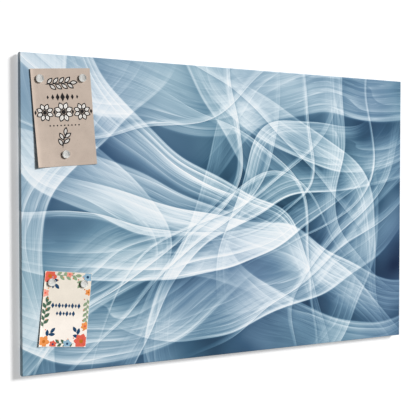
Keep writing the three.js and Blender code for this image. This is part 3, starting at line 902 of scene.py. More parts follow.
FILM_FINISH = SilkPrint("printed_film", "print_film")
TRAY_FINISH = SheetMetal("tray_steel_coat", "tray_steel", srgb(214, 217, 218), 0.25, 0.46, 0.06, 200.0)
ZINC_FINISH = SheetMetal("zinc_coat", "zinc_steel", srgb(178, 183, 187), 0.9, 0.38, 0.3, 130.0)
TAPE_FINISH = Elastic("foam_tape_cells", "foam_tape", srgb(46, 49, 52), 1300.0, 0.12 * MM)
RUBBER_FINISH = Elastic("moulded_rubber", "buffer_rubber", srgb(42, 44, 46), 700.0, 0.02 * MM)
RIVET_FINISH = TurnedMetal("rivet_aluminium", "rivet_alloy", srgb(205, 208, 210), 0.34, 4200.0)
NICKEL_FINISH = TurnedMetal("plated_nickel", "nickel_cup", srgb(226, 226, 222), 0.3, 5200.0)
CORE_FINISH = TurnedMetal("magnet_nickel", "magnet_core", srgb(120, 122, 126), 0.36, 3600.0)
NOTE_PAPER = CardPaper("recycled_card", "craft_paper", srgb(196, 180, 167), srgb(196, 180, 167), 0.45, 0.05)
INVITE_PAPER = CardPaper("cream_card", "cream_paper", srgb(253, 244, 234), srgb(237, 228, 214), 0.0, 0.03)


class Ink(Enum):
    """The inks of the two cards, each with its screen colour."""

    BLACK = (34, 32, 33)
    WHITE = (240, 236, 230)
    CORAL = (222, 100, 82)
    ROSE = (238, 158, 140)
    ORANGE = (236, 150, 84)
    AMBER = (196, 110, 38)
    SAGE = (142, 164, 132)
    GREEN = (74, 104, 84)
    NAVY = (32, 66, 98)
    SKY = (146, 182, 204)

    def finish(self, slot: str) -> PrintInk:
        """Gives the ink as a finish that stands for the card's own slot."""
        return PrintInk(f"ink_{self.name.lower()}", slot, srgb(*self.value))


def add_object(name: str, data: bpy.types.ID) -> bpy.types.Object:
    """Makes an object, at the origin, and puts it in the scene.

    Args:
        name: The object's name.
        data: Its mesh, lamp or camera.

    Returns:
        The new object.
    """
    made = bpy.data.objects.new(name, data)
    bpy.context.scene.collection.objects.link(made)
    return made


def add_shape(name: str, shape: bmesh.types.BMesh) -> bpy.types.Object:
    """Makes an object of a shape and puts it in the scene.

    Args:
        name: The object's name.
        shape: The shape, which is freed.

    Returns:
        The new object.
    """
    mesh = bpy.data.meshes.new(name)
    shape.to_mesh(mesh)
    shape.free()
    return add_object(name, mesh)


def collect(shape: bmesh.types.BMesh, name: str, body: str, finishes: Sequence[Finish],
            stands_for: Iterable[str] = (), crease: float = 40.0) -> bpy.types.Object:
    """Makes a finished piece of a shape and seats it on its body.

    Args:
        shape: The shape, which is freed.
        name: The piece's name.
        body: The body that it rides on.
        finishes: Its finishes, in the order of the faces' material numbers.
        stands_for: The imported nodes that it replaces.
        crease: Edges that turn by more degrees than this stay sharp.

    Returns:
        The new piece.
    """
    piece = add_shape(name, shape)
    piece.data.shade_smooth()
    piece.data.set_sharp_from_angle(angle=math.radians(crease))
    for finish in finishes:
        piece.data.materials.append(finish.material())
    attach(piece, body)
    nodes = tuple(stands_for)
    if nodes:
        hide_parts(*nodes)
    log.info("%s: %d faces on %s", name, len(piece.data.polygons), body)
    return piece


def arc(end: float, parts: int) -> list[float]:
    """Gives the angles from 0 to an end in degrees, in equal parts, as radians."""
    return [math.radians(end * part / parts) for part in range(parts + 1)]


def spun(profile: Sequence[tuple[float, float]], steps: int) -> bmesh.types.BMesh:
    """Turns a profile about the Y axis and lays a UV map of angle and radius on it.

    Args:
        profile: Points of radius and place along the axis, in metres, from pole to pole.
        steps: How many facets go round.

    Returns:
        The closed shape.
    """
    shape = bmesh.new()
    points = [shape.verts.new((radius, along, 0.0)) for radius, along in profile]
    edges = [shape.edges.new(pair) for pair in zip(points, points[1:])]
    bmesh.ops.spin(shape, geom=points + edges, cent=(0, 0, 0), axis=(0, 1, 0), angle=math.tau,
                   steps=steps, use_merge=True)
    bmesh.ops.remove_doubles(shape, verts=shape.verts, dist=COINCIDENT)
    bmesh.ops.recalc_face_normals(shape, faces=shape.faces)
    layer = shape.loops.layers.uv.new(TURNING_MAP)
    for face in shape.faces:
        middle = face.calc_center_median()
        facing = math.atan2(middle.z, middle.x)
        for loop in face.loops:
            x, y, z = loop.vert.co
            swing = math.atan2(z, x) if math.hypot(x, z) > TOUCHING else facing
            # No corner of a face lies a turn away from its middle, so the map has no smeared seam.
            swing += math.tau * round((facing - swing) / math.tau)
            loop[layer].uv = (swing / math.tau, math.hypot(x, z) + y)
    return shape


def block(size: Sequence[float], middle: Sequence[float]) -> bmesh.types.BMesh:
    """Makes a plain block, which is shaped further.

    Args:
        size: Its size along each axis.
        middle: Where its middle lies.

    Returns:
        The block.
    """
    shape = bmesh.new()
    bmesh.ops.create_cube(shape, size=1.0)
    bmesh.ops.scale(shape, vec=size, verts=shape.verts)
    bmesh.ops.translate(shape, vec=middle, verts=shape.verts)
    return shape


def soften(shape: bmesh.types.BMesh, edges: list[bmesh.types.BMEdge], offset: float, segments: int,
           clamp: bool = False) -> None:
    """Rounds edges of a shape.

    Args:
        shape: The shape.
        edges: The edges that are rounded.
        offset: How far the rounding reaches from each edge.
        segments: How many facets it has.
        clamp: Whether it stops where two roundings meet.
    """
    bmesh.ops.bevel(shape, geom=edges, offset=offset, offset_type="OFFSET", segments=segments,
                    profile=0.5, affect="EDGES", material=-1, clamp_overlap=clamp)


def thicken(shape: bmesh.types.BMesh, depth: float) -> None:
    """Gives a flat sheet its thickness, toward the front.

    Args:
        shape: The sheet.
        depth: How thick it becomes.
    """
    made = bmesh.ops.extrude_face_region(shape, geom=shape.faces[:], use_keep_orig=True)["geom"]
    bmesh.ops.translate(shape, vec=(0, -depth, 0),
                        verts=[item for item in made if isinstance(item, bmesh.types.BMVert)])
    bmesh.ops.recalc_face_normals(shape, faces=shape.faces)


def smooth_copy(node: str, rounding: float = 0.0, flat: float = 0.5,
                sharp: float = 60.0) -> bmesh.types.BMesh:
    """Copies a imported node's mesh as one closed skin with flat faces joined.

    Args:
        node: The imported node.
        rounding: How far its sharp edges are broken.
        flat: Faces that turn by fewer degrees than this are joined.
        sharp: Edges that turn by more degrees than this are broken.

    Returns:
        The copy.
    """
    shape = bmesh.new()
    shape.from_mesh(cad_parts[node].data)
    bmesh.ops.remove_doubles(shape, verts=shape.verts, dist=TOUCHING)
    bmesh.ops.dissolve_limit(shape, angle_limit=math.radians(flat), verts=shape.verts, edges=shape.edges,
                             delimit=set())
    if rounding:
        edges = [edge for edge in shape.edges
                 if edge.is_manifold and edge.calc_face_angle() > math.radians(sharp)]
        soften(shape, edges, rounding, 2, clamp=True)
    return shape


@dataclass
class Board:
    """The steel tray with its printed film, stiffeners and tape. Sizes are in metres."""

    width: float = 0.900
    height: float = 0.600
    front: float = -0.019
    rear: float = -0.002
    film: float = 0.3 * MM
    film_turn: float = 5 * MM
    film_slit: float = 0.4 * MM
    film_round: float = 2.2 * MM
    round_steps: int = 6
    tape_round: float = 0.2 * MM
    tape_steps: int = 3
    body: str = "board"

    def build(self) -> None:
        """Builds every piece of the tray and dresses it."""
        self.build_film()
        collect(smooth_copy("steel_tray"), "tray", self.body, [TRAY_FINISH], ["steel_tray"])
        for side in ("left", "right"):
            collect(smooth_copy(f"stiffener_{side}"), f"hat_section_{side}", self.body, [ZINC_FINISH],
                    [f"stiffener_{side}"])
            for place in ("outer", "inner"):
                self.build_tape(f"bond_tape_{side}_{place}")

    def build_film(self) -> None:
        """Wraps the film round the front and sides and turns it over onto the rear lips."""
        shape = block((self.width, self.rear - self.front, self.height), (0, (self.front + self.rear) / 2, 0))
        back = [face for face in shape.faces if face.normal.y > FACING]
        bmesh.ops.delete(shape, geom=back, context="FACES_ONLY")
        rim = [edge for edge in shape.edges if edge.is_boundary]
        strips = bmesh.ops.extrude_edge_only(shape, edges=rim)["geom"]
        for vert in (item for item in strips if isinstance(item, bmesh.types.BMVert)):
            vert.co.x -= math.copysign(self.film_turn, vert.co.x)
            vert.co.z -= math.copysign(self.film_turn, vert.co.z)
        folds = [edge for edge in shape.edges if edge.is_manifold and self.is_fold(edge)]
        soften(shape, folds, self.film_round, self.round_steps)
        self.slit_corners(shape)
        bmesh.ops.recalc_face_normals(shape, faces=shape.faces)
        piece = collect(shape, "print_wrap", self.body, [FILM_FINISH], ["printed_facing"], 50)
        gauge = piece.modifiers.new("film_gauge", "SOLIDIFY")
        gauge.thickness = self.film
        gauge.offset = -1.0

    def is_fold(self, edge: bmesh.types.BMEdge) -> bool:
        """Says whether the film folds over an edge, which then lies in the front or the rear plane.

        Args:
            edge: The edge.

        Returns:
            Whether it is a fold.
        """
        middle = (edge.verts[0].co + edge.verts[1].co) / 2
        along = edge.verts[1].co - edge.verts[0].co
        outermost = (abs(middle.x) > self.width / 2 - TOUCHING or
                     abs(middle.z) > self.height / 2 - TOUCHING)
        return abs(along.y) < TOUCHING and outermost

    def rear_faces(self, shape: bmesh.types.BMesh) -> list[bmesh.types.BMFace]:
        """Finds the faces that lie flat on the rear lips.

        Args:
            shape: The film.

        Returns:
            The faces.
        """
        half_way = (self.front + self.rear) / 2
        return [face for face in shape.faces
                if abs(face.normal.y) > FACING and face.calc_center_median().y > half_way]

    def slit_corners(self, shape: bmesh.types.BMesh) -> None:
        """Opens the mitred slits where the turned-over strips meet on the rear lips.

        Args:
            shape: The film.
        """
        for x_side, z_side in ((-1, 1), (1, 1), (1, -1), (-1, -1)):
            corner = Vector((x_side * self.width / 2, 0, z_side * self.height / 2))
            across = Vector((x_side, 0, -z_side)).normalized()
            for way in (-1, 1):
                faces = self.rear_faces(shape)
                edges = dict.fromkeys(edge for face in faces for edge in face.edges)
                verts = dict.fromkeys(vert for face in faces for vert in face.verts)
                bmesh.ops.bisect_plane(shape, geom=[*faces, *edges, *verts], dist=COINCIDENT,
                                       plane_co=corner + across * way * self.film_slit / 2, plane_no=across)
            inside = []
            for face in shape.faces:
                away = face.calc_center_median() - corner
                if (away.y > self.rear - self.film and away.length < 2 * self.film_turn
                        and abs(away.dot(across)) < self.film_slit / 2):
                    inside.append(face)
            bmesh.ops.delete(shape, geom=inside, context="FACES")

    def build_tape(self, node: str) -> None:
        """Builds one strip of foam tape with softened edges.

        Args:
            node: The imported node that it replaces.
        """
        low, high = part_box(node)
        shape = block(high - low, (low + high) / 2)
        soften(shape, shape.edges[:], self.tape_round, self.tape_steps)
        collect(shape, node.replace("bond", "foam"), self.body, [TAPE_FINISH], [node], 50)


@dataclass
class Hanging:
    """The corner plates with their rivets, and the wall buffers.

    Sizes are in metres, and bare numbers in a turned profile are shares of them.
    """

    lip_rear: float = -2.3 * MM
    lip_front: float = -3.1 * MM
    plate_front: float = -4.6 * MM
    plate_round: float = 0.2 * MM
    rivet_radius: float = 2 * MM
    head_radius: float = 3.6 * MM
    head: float = 1.1 * MM
    tail_radius: float = 2.9 * MM
    tail: float = 1.8 * MM
    mandrel: float = 1.05 * MM
    rivet_steps: int = 32
    pad_radius: float = 4.2 * MM
    pad_round: float = 0.6 * MM
    neck_radius: float = 2.1 * MM
    bulb_radius: float = 2.9 * MM
    bulb: float = 3.2 * MM
    tip_radius: float = 1.4 * MM
    buffer_steps: int = 40
    body: str = "board"
    corners: tuple[str, ...] = ("top_left", "top_right", "bottom_right", "bottom_left")

    def build(self) -> None:
        """Builds the plates, rivets and buffers at the four corners."""
        for corner in self.corners:
            collect(smooth_copy(f"corner_plate_{corner}", self.plate_round), f"keyhole_plate_{corner}",
                    self.body, [ZINC_FINISH], [f"corner_plate_{corner}"], 30)
            for number in (1, 2):
                node = f"rivet_{corner}_{number}"
                self.seat(self.rivet(), node, f"blind_{node}", RIVET_FINISH)
            self.seat(self.buffer(), f"buffer_{corner}", f"wall_buffer_{corner}", RUBBER_FINISH)

    def seat(self, shape: bmesh.types.BMesh, node: str, name: str, finish: Finish) -> None:
        """Moves a turned shape to the axis of its node and finishes it.

        Args:
            shape: The shape, turned about the origin.
            node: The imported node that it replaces.
            name: The piece's name.
            finish: Its finish.
        """
        low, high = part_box(node)
        bmesh.ops.translate(shape, vec=((low.x + high.x) / 2, 0, (low.z + high.z) / 2), verts=shape.verts)
        collect(shape, name, self.body, [finish], [node])

    def rivet(self) -> bmesh.types.BMesh:
        """Turns a blind rivet.

        Returns:
            The rivet: domed head, hollow with the broken mandrel in it, shank and rolled tail.
        """
        top = self.lip_rear + self.head
        end = self.plate_front - self.tail
        dome = [(self.head_radius * math.cos(angle), self.lip_rear + self.head * math.sin(angle))
                for angle in arc(60, 4)]
        return spun([
            (0, top - 0.55 * self.head), (0.62 * self.mandrel, top - 0.5 * self.head),
            (0.8 * self.mandrel, top - 0.62 * self.head), (self.mandrel, top - 0.6 * self.head),
            (self.mandrel, top - 0.08 * self.head), (1.15 * self.mandrel, top),
            *reversed(dome), (self.rivet_radius, self.lip_rear), (self.rivet_radius, self.plate_front),
            (self.tail_radius, self.plate_front), (self.tail_radius, self.plate_front - 0.45 * self.tail),
            (0.92 * self.tail_radius, self.plate_front - 0.75 * self.tail),
            (self.rivet_radius, end + 0.03 * self.tail), (self.mandrel, end), (0, end),
        ], self.rivet_steps)

    def buffer(self) -> bmesh.types.BMesh:
        """Turns a push-in buffer.

        Returns:
            The buffer: bulb, neck, and a pad with a rounded rim and a moulded dimple.
        """
        rim = [(self.pad_radius - self.pad_round * (1 - math.cos(angle)),
                -self.pad_round * (1 - math.sin(angle))) for angle in arc(90, 4)]
        dimple = -0.3 * self.pad_round
        return spun([
            (0, self.lip_front - self.bulb), (0.7 * self.tip_radius, self.lip_front - self.bulb),
            (self.tip_radius, self.lip_front - 0.92 * self.bulb),
            (self.bulb_radius, self.lip_front - 0.12 * self.bulb), (self.bulb_radius, self.lip_front),
            (self.neck_radius, self.lip_front), (self.neck_radius, self.lip_rear),
            (0.96 * self.pad_radius, self.lip_rear), (self.pad_radius, self.lip_rear + 0.25 * self.pad_round),
            *rim, (0.45 * self.pad_radius, 0), (0.38 * self.pad_radius, dimple), (0, dimple),
        ], self.buffer_steps)


class Shape(Enum):
    """The plain outlines that every printed ornament is made of."""

    DOT = "dot"
    LEAF = "leaf"
    LOZENGE = "lozenge"
    BAR = "bar"


ROUND_POINTS = 20
BAR_SQUARENESS = 0.3
VEIN_LENGTH = 0.62
VEIN_WIDTH = 0.26
PETAL_STEP = 0.12


def turned(angle: float) -> Matrix:
    """Gives the matrix that turns a flat shape about its middle, by radians."""
    return Matrix.Rotation(angle, 3, "Z")


@dataclass(frozen=True)
class Motif:
    """One printed outline on a card.

    Lengths are in millimetres from the card's middle, the turn is in degrees clockwise, and a
    higher layer lies over a lower one.
    """

    shape: Shape
    x: float
    z: float
    length: float
    width: float
    turn: float
    ink: Ink
    fill: Ink | None = None
    layer: float = 0.0
    outline: float = 1.1
    tip: float = 1.5

    def flat(self, shape: bmesh.types.BMesh, inks: Sequence[Ink]) -> None:
        """Adds the outline's face to a shape that lies in the XY plane, Y being the card's Z.

        Args:
            shape: The shape that takes the face.
            inks: The card's inks, in the order of its material numbers.
        """
        points = 4 if self.shape is Shape.LOZENGE else ROUND_POINTS
        made = bmesh.ops.create_circle(shape, cap_ends=True, radius=1.0, segments=points)["verts"]
        if self.shape is Shape.LOZENGE:
            first = made[0].co
            bmesh.ops.rotate(shape, cent=(0, 0, 0), verts=made,
                             matrix=turned(math.atan2(first.y, first.x)).inverted())
        for vert in made:
            x, y, _ = vert.co
            if self.shape is Shape.LEAF:
                x *= abs(x)
            elif self.shape is Shape.BAR:
                x = math.copysign(abs(x) ** BAR_SQUARENESS, x)
            vert.co.x = x * self.width / 2
            vert.co.y = y * self.length / 2
        made[0].link_faces[0].material_index = inks.index(self.ink)
        bmesh.ops.rotate(shape, cent=(0, 0, 0), verts=made, matrix=turned(-math.radians(self.turn)))
        bmesh.ops.translate(shape, vec=(self.x, self.z, self.layer), verts=made)
        if self.fill is not None:
            inner = self.length - 2 * self.tip * self.outline
            inside = Motif(self.shape, self.x, self.z, inner, self.width - 2 * self.outline, self.turn,
                           self.fill, layer=self.layer + 1)
            vein = Motif(Shape.BAR, self.x, self.z, VEIN_LENGTH * inner, VEIN_WIDTH * self.outline,
                         self.turn, self.ink, layer=self.layer + 2)
            inside.flat(shape, inks)
            vein.flat(shape, inks)


def heading(turn: float) -> tuple[float, float]:
    """Gives the step across and up of a heading in degrees clockwise from up."""
    return math.sin(math.radians(turn)), math.cos(math.radians(turn))


def ring(petal: Motif, far: float, count: int, start: float) -> list[Motif]:
    """Sets copies of a petal round a middle, each on a layer of its own.

    Args:
        petal: The petal, placed at the ring's middle.
        far: How far from there each petal's middle lies.
        count: How many petals go round.
        start: The first one's heading, in degrees.

    Returns:
        The petals.
    """
    petals = []
    for number in range(count):
        turn = 360 * number / count + start
        across, up = heading(turn)
        petals.append(replace(petal, x=petal.x + far * across, z=petal.z + far * up, turn=turn,
                              layer=petal.layer + PETAL_STEP * number))
    return petals


def flower(x: float, z: float, radius: float, petals: int, ink: Ink, heart: Ink) -> list[Motif]:
    """Lays out a round flower of plain petals with a dot at its heart, all in shares of its radius.

    Args:
        x: Its middle across the card.
        z: Its middle up the card.
        radius: Its radius.
        petals: How many petals it has.
        ink: The petals' ink.
        heart: The dot's ink.

    Returns:
        The flower's outlines.
    """
    petal = Motif(Shape.LEAF, x, z, 1.05 * radius, 0.8 * radius, 0, ink, layer=2)
    dot = Motif(Shape.DOT, x, z, 0.55 * radius, 0.55 * radius, 0, heart, layer=4)
    return [*ring(petal, 0.56 * radius, petals, 9 * x), dot]


def rosette(x: float, z: float, radius: float, petals: int) -> list[Motif]:
    """Lays out a rosette of outlined petals round a solid dot, all in shares of its radius.

    Args:
        x: Its middle across the card.
        z: Its middle up the card.
        radius: Its radius.
        petals: How many petals it has.

    Returns:
        The rosette's outlines.
    """
    petal = Motif(Shape.LEAF, x, z, 0.84 * radius, 0.55 * radius, 0, Ink.BLACK, Ink.WHITE, outline=1.8)
    dot = Motif(Shape.DOT, x, z, 0.44 * radius, 0.44 * radius, 0, Ink.BLACK, layer=3)
    return [*ring(petal, 0.62 * radius, petals, 180 / petals), dot]


def sprig(x: float, z: float, turn: float, length: float, pairs: int, leaf: float, ink: Ink,
          stem: Ink, fill: Ink | None = None, lean: float = 42.0) -> list[Motif]:
    """Lays out a straight stem with leaves on either side by turns and one at its tip.

    Widths and gaps are shares of a leaf's length.

    Args:
        x: Where the stem starts, across the card.
        z: Where it starts, up the card.
        turn: Where it heads, in degrees clockwise from up.
        length: How long it is.
        pairs: How many leaves it has on each side.
        leaf: How long a leaf is.
        ink: The leaves' ink.
        stem: The stem's ink.
        fill: What fills the leaves, or None for solid ones.
        lean: How far a leaf leans from the stem, in degrees.

    Returns:
        The sprig's outlines.
    """
    ahead = Vector(heading(turn))
    root = Vector((x, z))
    middle = root + ahead * length / 2
    blade = Motif(Shape.LEAF, x, z, leaf, 0.5 * leaf, turn, ink, fill, 1, 0.13 * leaf)
    motifs = [Motif(Shape.BAR, middle.x, middle.y, length, 0.08 * leaf, turn, stem)]
    for number in range(pairs):
        for side in (-1, 1):
            leaning = turn + side * lean
            share = (number + 0.5 + 0.2 * side) / (pairs + 0.2)
            spot = root + ahead * length * share + Vector(heading(leaning)) * leaf * 0.5
            motifs.append(replace(blade, x=spot.x, z=spot.y, turn=leaning))
    tip = root + ahead * (length + 0.45 * leaf)
    return [*motifs, replace(blade, x=tip.x, z=tip.y, layer=1.5)]


def note_motifs() -> list[Motif]:
    """Lays out the tall card's ornament: a branch, rows of lozenges and dots, three rosettes, a sprig.

    Returns:
        The ornament's outlines.
    """
    motifs = sprig(-32, 62, 87, 48, 4, 17, Ink.BLACK, Ink.BLACK, Ink.WHITE)
    for number, size in enumerate((8, 11, 14, 17, 14, 11, 8)):
        motifs.append(Motif(Shape.LOZENGE, -28.5 + 9.5 * number, 38, size, 0.54 * size, 0, Ink.BLACK))
    for x, radius in ((-36, 17), (0, 19), (36, 17)):
        motifs += rosette(x, 10, radius, 8)
    for x in (-54, -18, 18, 54):
        motifs.append(Motif(Shape.LOZENGE, x, 10, 10, 5, 0, Ink.BLACK, layer=4))
    for number in range(9):
        motifs.append(Motif(Shape.DOT, -28 + 7 * number, -15, 3, 3, 0, Ink.BLACK))
    return motifs + sprig(-7, -57, 14, 24, 2, 17, Ink.BLACK, Ink.BLACK, Ink.WHITE)


def scattered_dots() -> list[Motif]:
    """Scatters small dots along the small card's border.

    Returns:
        The dots.
    """
    count, size = 26, 2.4
    reach_across, reach_up, hollow = 46, 84, 4
    border_across, border_up = 36, 58
    inks = (Ink.ORANGE, Ink.AMBER, Ink.SKY, Ink.CORAL)
    draw = random.Random(11)
    dots = []
    for number in range(count):
        angle = math.tau * number / count
        across, up = math.cos(angle), math.sin(angle)
        x = min(abs(reach_across * across) + hollow, border_across + draw.uniform(-3, 3))
        z = min(abs(reach_up * up), border_up + draw.uniform(-4, 4))
        dots.append(Motif(Shape.DOT, math.copysign(x, across), math.copysign(z, up), size, size, 0,
                          draw.choice(inks), layer=5))
    return dots


def invite_motifs() -> list[Motif]:
    """Lays out the small card's border of flowers and leaves, and two rows of small navy ornament.

    Returns:
        The ornament's outlines.
    """
    motifs = []
    for row in (
        (-41, -36, 4, 48, 4, 13, Ink.GREEN, Ink.GREEN),
        (41, 22, 178, 42, 4, 11, Ink.SAGE, Ink.GREEN),
        (-26, 64, 89, 40, 3, 13, Ink.SAGE, Ink.GREEN),
        (22, -65, 271, 34, 3, 11, Ink.GREEN, Ink.GREEN),
        (-34, 58, 138, 14, 1, 13, Ink.NAVY, Ink.NAVY),
        (33, -55, 326, 15, 1, 13, Ink.NAVY, Ink.NAVY),
        (-34, -54, 42, 13, 1, 13, Ink.NAVY, Ink.NAVY),
        (33, 60, 215, 12, 1, 12, Ink.SAGE, Ink.GREEN),
    ):
        motifs += sprig(*row)
    for row in (
        (-36, 62, 13, 6, Ink.CORAL, Ink.AMBER),
        (38, 63, 10, 5, Ink.SKY, Ink.NAVY),
        (-37, -61, 11, 5, Ink.ORANGE, Ink.AMBER),
        (36, -60, 14, 7, Ink.CORAL, Ink.AMBER),
        (-42, 30, 7.5, 5, Ink.ROSE, Ink.CORAL),
        (41, -31, 8, 6, Ink.ORANGE, Ink.CORAL),
        (9, -65, 8.5, 5, Ink.SKY, Ink.NAVY),
        (2, 67, 6.5, 5, Ink.ROSE, Ink.CORAL),
        (-19, -66, 7, 6, Ink.CORAL, Ink.NAVY),
        (42, 34, 6.5, 5, Ink.ORANGE, Ink.AMBER),
    ):
        motifs += flower(*row)
    motifs += scattered_dots()
    for z, count in ((7, 9), (-8, 6)):
        for number in range(count):
            size = 11 if (number + count) % 2 else 8
            x = 6.4 * (number - (count - 1) / 2)
            motifs.append(Motif(Shape.LOZENGE, x, z, size, 0.6 * size, 0, Ink.NAVY))
    return motifs


@dataclass(frozen=True)
class Curl:
    """How a card bends forward toward one edge or corner: the heading in degrees from +X, and the lift."""

    heading: float
    lift: float

    def along(self, x: float, z: float) -> float:
        """Gives how far a point lies along the curl's heading."""
        return x * math.cos(math.radians(self.heading)) + z * math.sin(math.radians(self.heading))


@dataclass
class PinnedCard:
    """A printed card on the board, turned about its middle, with the magnets that hold it.

    Lengths are in millimetres; the card's own frame has its middle at the origin.
    """

    body: str
    node: str
    width: float
    height: float
    centre: tuple[float, float]
    tilt: float
    magnets: dict[str, tuple[float, float]]
    curls: tuple[Curl, ...]
    paper: Finish
    motifs: list[Motif]
    gauge: float = 0.5
    rear: float = -19.3
    magnet_radius: float = 7.5
    ease: float = 0.5
    margin: float = 0.6
    columns: int = 46
    rows: int = 72
    ink_lift: float = 0.02
    ink_gauge: float = 0.02
    ink_step: float = 0.012
    cut_merge: float = 1e-5

    def build(self) -> None:
        """Builds the card, its print and its magnets."""
        self.build_card()
        self.build_print()
        for name, (x, z) in self.magnets.items():
            MagnetPiece(name, self.to_board(x, 0, z)).build()

    def bending(self, curl: Curl) -> tuple[float, float]:
        """Finds the part of the card that bends with a curl: all that lies beyond its magnets.

        Args:
            curl: The curl.

        Returns:
            How far along the curl's heading the card ends, and how much of it bends.
        """
        corners = [(side * self.width / 2, end * self.height / 2) for side in (-1, 1) for end in (-1, 1)]
        far = max(curl.along(*corner) for corner in corners)
        pinned = max(curl.along(*spot) for spot in self.magnets.values())
        return far, far - pinned - self.magnet_radius - self.ease

    def forward(self, x: float, z: float) -> float:
        """Gives how far the card stands forward of its flat place.

        Args:
            x: The point across the card.
            z: The point up the card.

        Returns:
            The lift there.
        """
        total = 0.0
        for curl in self.curls:
            far, span = self.bending(curl)
            share = max(0.0, curl.along(x, z) - far + span) / span
            total += curl.lift * share ** 2
        return total

    def to_board(self, x: float, y: float, z: float) -> Vector:
        """Takes a point from the card's frame to the board's.

        Args:
            x: The point across the card.
            y: The point's depth.
            z: The point up the card.

        Returns:
            The point on the board, in metres.
        """
        turn = Matrix.Rotation(math.radians(self.tilt), 3, "Y")
        place = turn @ Vector((x, y, z)) + Vector((self.centre[0], 0, self.centre[1]))
        return place * MM

    def follow(self, shape: bmesh.types.BMesh) -> None:
        """Bends a shape in the card's frame with the card and takes it to the board.

        Args:
            shape: The shape.
        """
        for vert in shape.verts:
            x, y, z = vert.co
            vert.co = self.to_board(x, y - self.forward(x, z), z)

    def build_card(self) -> None:
        """Builds the bent card with its thickness."""
        shape = bmesh.new()
        bmesh.ops.create_grid(shape, x_segments=self.columns, y_segments=self.rows, size=0.5)
        bmesh.ops.scale(shape, vec=(self.width, self.height, 1), verts=shape.verts)
        bmesh.ops.rotate(shape, cent=(0, 0, 0), matrix=Matrix.Rotation(math.radians(90), 3, "X"),
                         verts=shape.verts)
        bmesh.ops.translate(shape, vec=(0, self.rear, 0), verts=shape.verts)
        thicken(shape, self.gauge)
        self.follow(shape)
        collect(shape, f"{self.body}_sheet", self.body, [self.paper], [self.node], 50)

    def cut(self, shape: bmesh.types.BMesh, place: Vector, outward: Vector, drop: bool = False) -> None:
        """Cuts flat ink along a line.

        Args:
            shape: The ink.
            place: A point on the line.
            outward: The heading square to it.
            drop: Whether what lies beyond it is dropped.
        """
        bmesh.ops.bisect_plane(shape, geom=shape.verts[:] + shape.edges[:] + shape.faces[:],
                               dist=self.cut_merge, plane_co=place, plane_no=outward, clear_outer=drop)

    def fit_print(self, shape: bmesh.types.BMesh) -> None:
        """Cuts flat ink at the card's edges and along its own grid, so that both bend alike.

        Args:
            shape: The ink.
        """
        sides = ((Vector((1, 0, 0)), self.width, self.columns), (Vector((0, 1, 0)), self.height, self.rows))
        for axis, size, _ in sides:
            for way in (-1, 1):
                self.cut(shape, axis * way * (size / 2 - self.margin), axis * way, drop=True)
        for axis, size, count in sides:
            for step in range(1, count):
                self.cut(shape, axis * size * (step / count - 0.5), axis)

    def build_print(self) -> None:
        """Prints the card's ornament as thin ink that follows the card."""
        used = {ink for motif in self.motifs for ink in (motif.ink, motif.fill) if ink}
        inks = sorted(used, key=lambda ink: ink.name)
        shape = bmesh.new()
        for motif in self.motifs:
            motif.flat(shape, inks)
        self.fit_print(shape)
        bmesh.ops.triangulate(shape, faces=shape.faces[:])
        for vert in shape.verts:
            x, z, layer = vert.co
            vert.co = (x, self.rear - self.gauge - self.ink_lift - self.ink_step * layer, z)
        thicken(shape, self.ink_gauge)
        self.follow(shape)
        collect(shape, f"{self.body}_print", self.body, [ink.finish(self.paper.slot) for ink in inks],
                crease=60)


@dataclass
class MagnetPiece:
    """A pot magnet: a plated cup, open toward the board, with a magnet disc in it.

    Sizes are in metres, and bare numbers in a turned profile are shares of them.
    """

    name: str
    centre: Vector
    radius: float = 7.5 * MM
    rear: float = -20.1 * MM
    height: float = 4 * MM
    wall: float = 1.2 * MM
    face: float = 1 * MM
    edge: float = 0.8 * MM
    crown: float = 0.3 * MM
    groove: float = 0.35 * MM
    play: float = 0.3 * MM
    recess: float = 0.2 * MM
    steps: int = 72

    def build(self) -> None:
        """Turns the cup and the disc and seats them on their own body."""
        for shape, kind, node, finish in ((self.cup(), "pot", f"{self.name}_cup", NICKEL_FINISH),
                                          (self.core(), "disc", f"{self.name}_core", CORE_FINISH)):
            bmesh.ops.translate(shape, vec=(self.centre.x, 0, self.centre.z), verts=shape.verts)
            collect(shape, f"{self.name}_{kind}", self.name, [finish], [node])

    def cup(self) -> bmesh.types.BMesh:
        """Turns the cup.

        Returns:
            The cup: a faintly domed face, a fine groove inside its rim, a rounded edge and the wall.
        """
        front = self.rear - self.height
        inner = self.radius - self.edge
        bore = self.radius - self.wall
        lead = 0.25 * self.edge
        dome = [(share * inner, front + self.crown * share ** 2) for share in (0.0, 0.2, 0.4, 0.6)]
        rounded = [(inner + self.edge * math.sin(angle),
                    front + self.crown + (self.edge - self.crown) * (1 - math.cos(angle)))
                   for angle in arc(90, 6)]
        return spun([
            *dome, (inner - 2.2 * self.groove, front + 0.7 * self.crown),
            (inner - 1.6 * self.groove, front + 1.1 * self.crown),
            (inner - 1.0 * self.groove, front + 0.85 * self.crown), *rounded,
            (self.radius, self.rear - lead), (self.radius - lead, self.rear),
            (bore + 0.3 * lead, self.rear), (bore, self.rear - 0.5 * lead),
            (bore, front + self.face), (0, front + self.face),
        ], self.steps)

    def core(self) -> bmesh.types.BMesh:
        """Turns the magnet disc, its edges broken.

        Returns:
            The disc, which ends just short of the cup's rim.
        """
        radius = self.radius - self.wall - self.play
        front = self.rear - self.height + self.face + self.play
        rear = self.rear - self.recess
        broken = 0.3 * self.edge
        return spun([
            (0, front), (radius - broken, front), (radius, front + broken),
            (radius, rear - broken), (radius - broken, rear), (0, rear),
        ], self.steps)


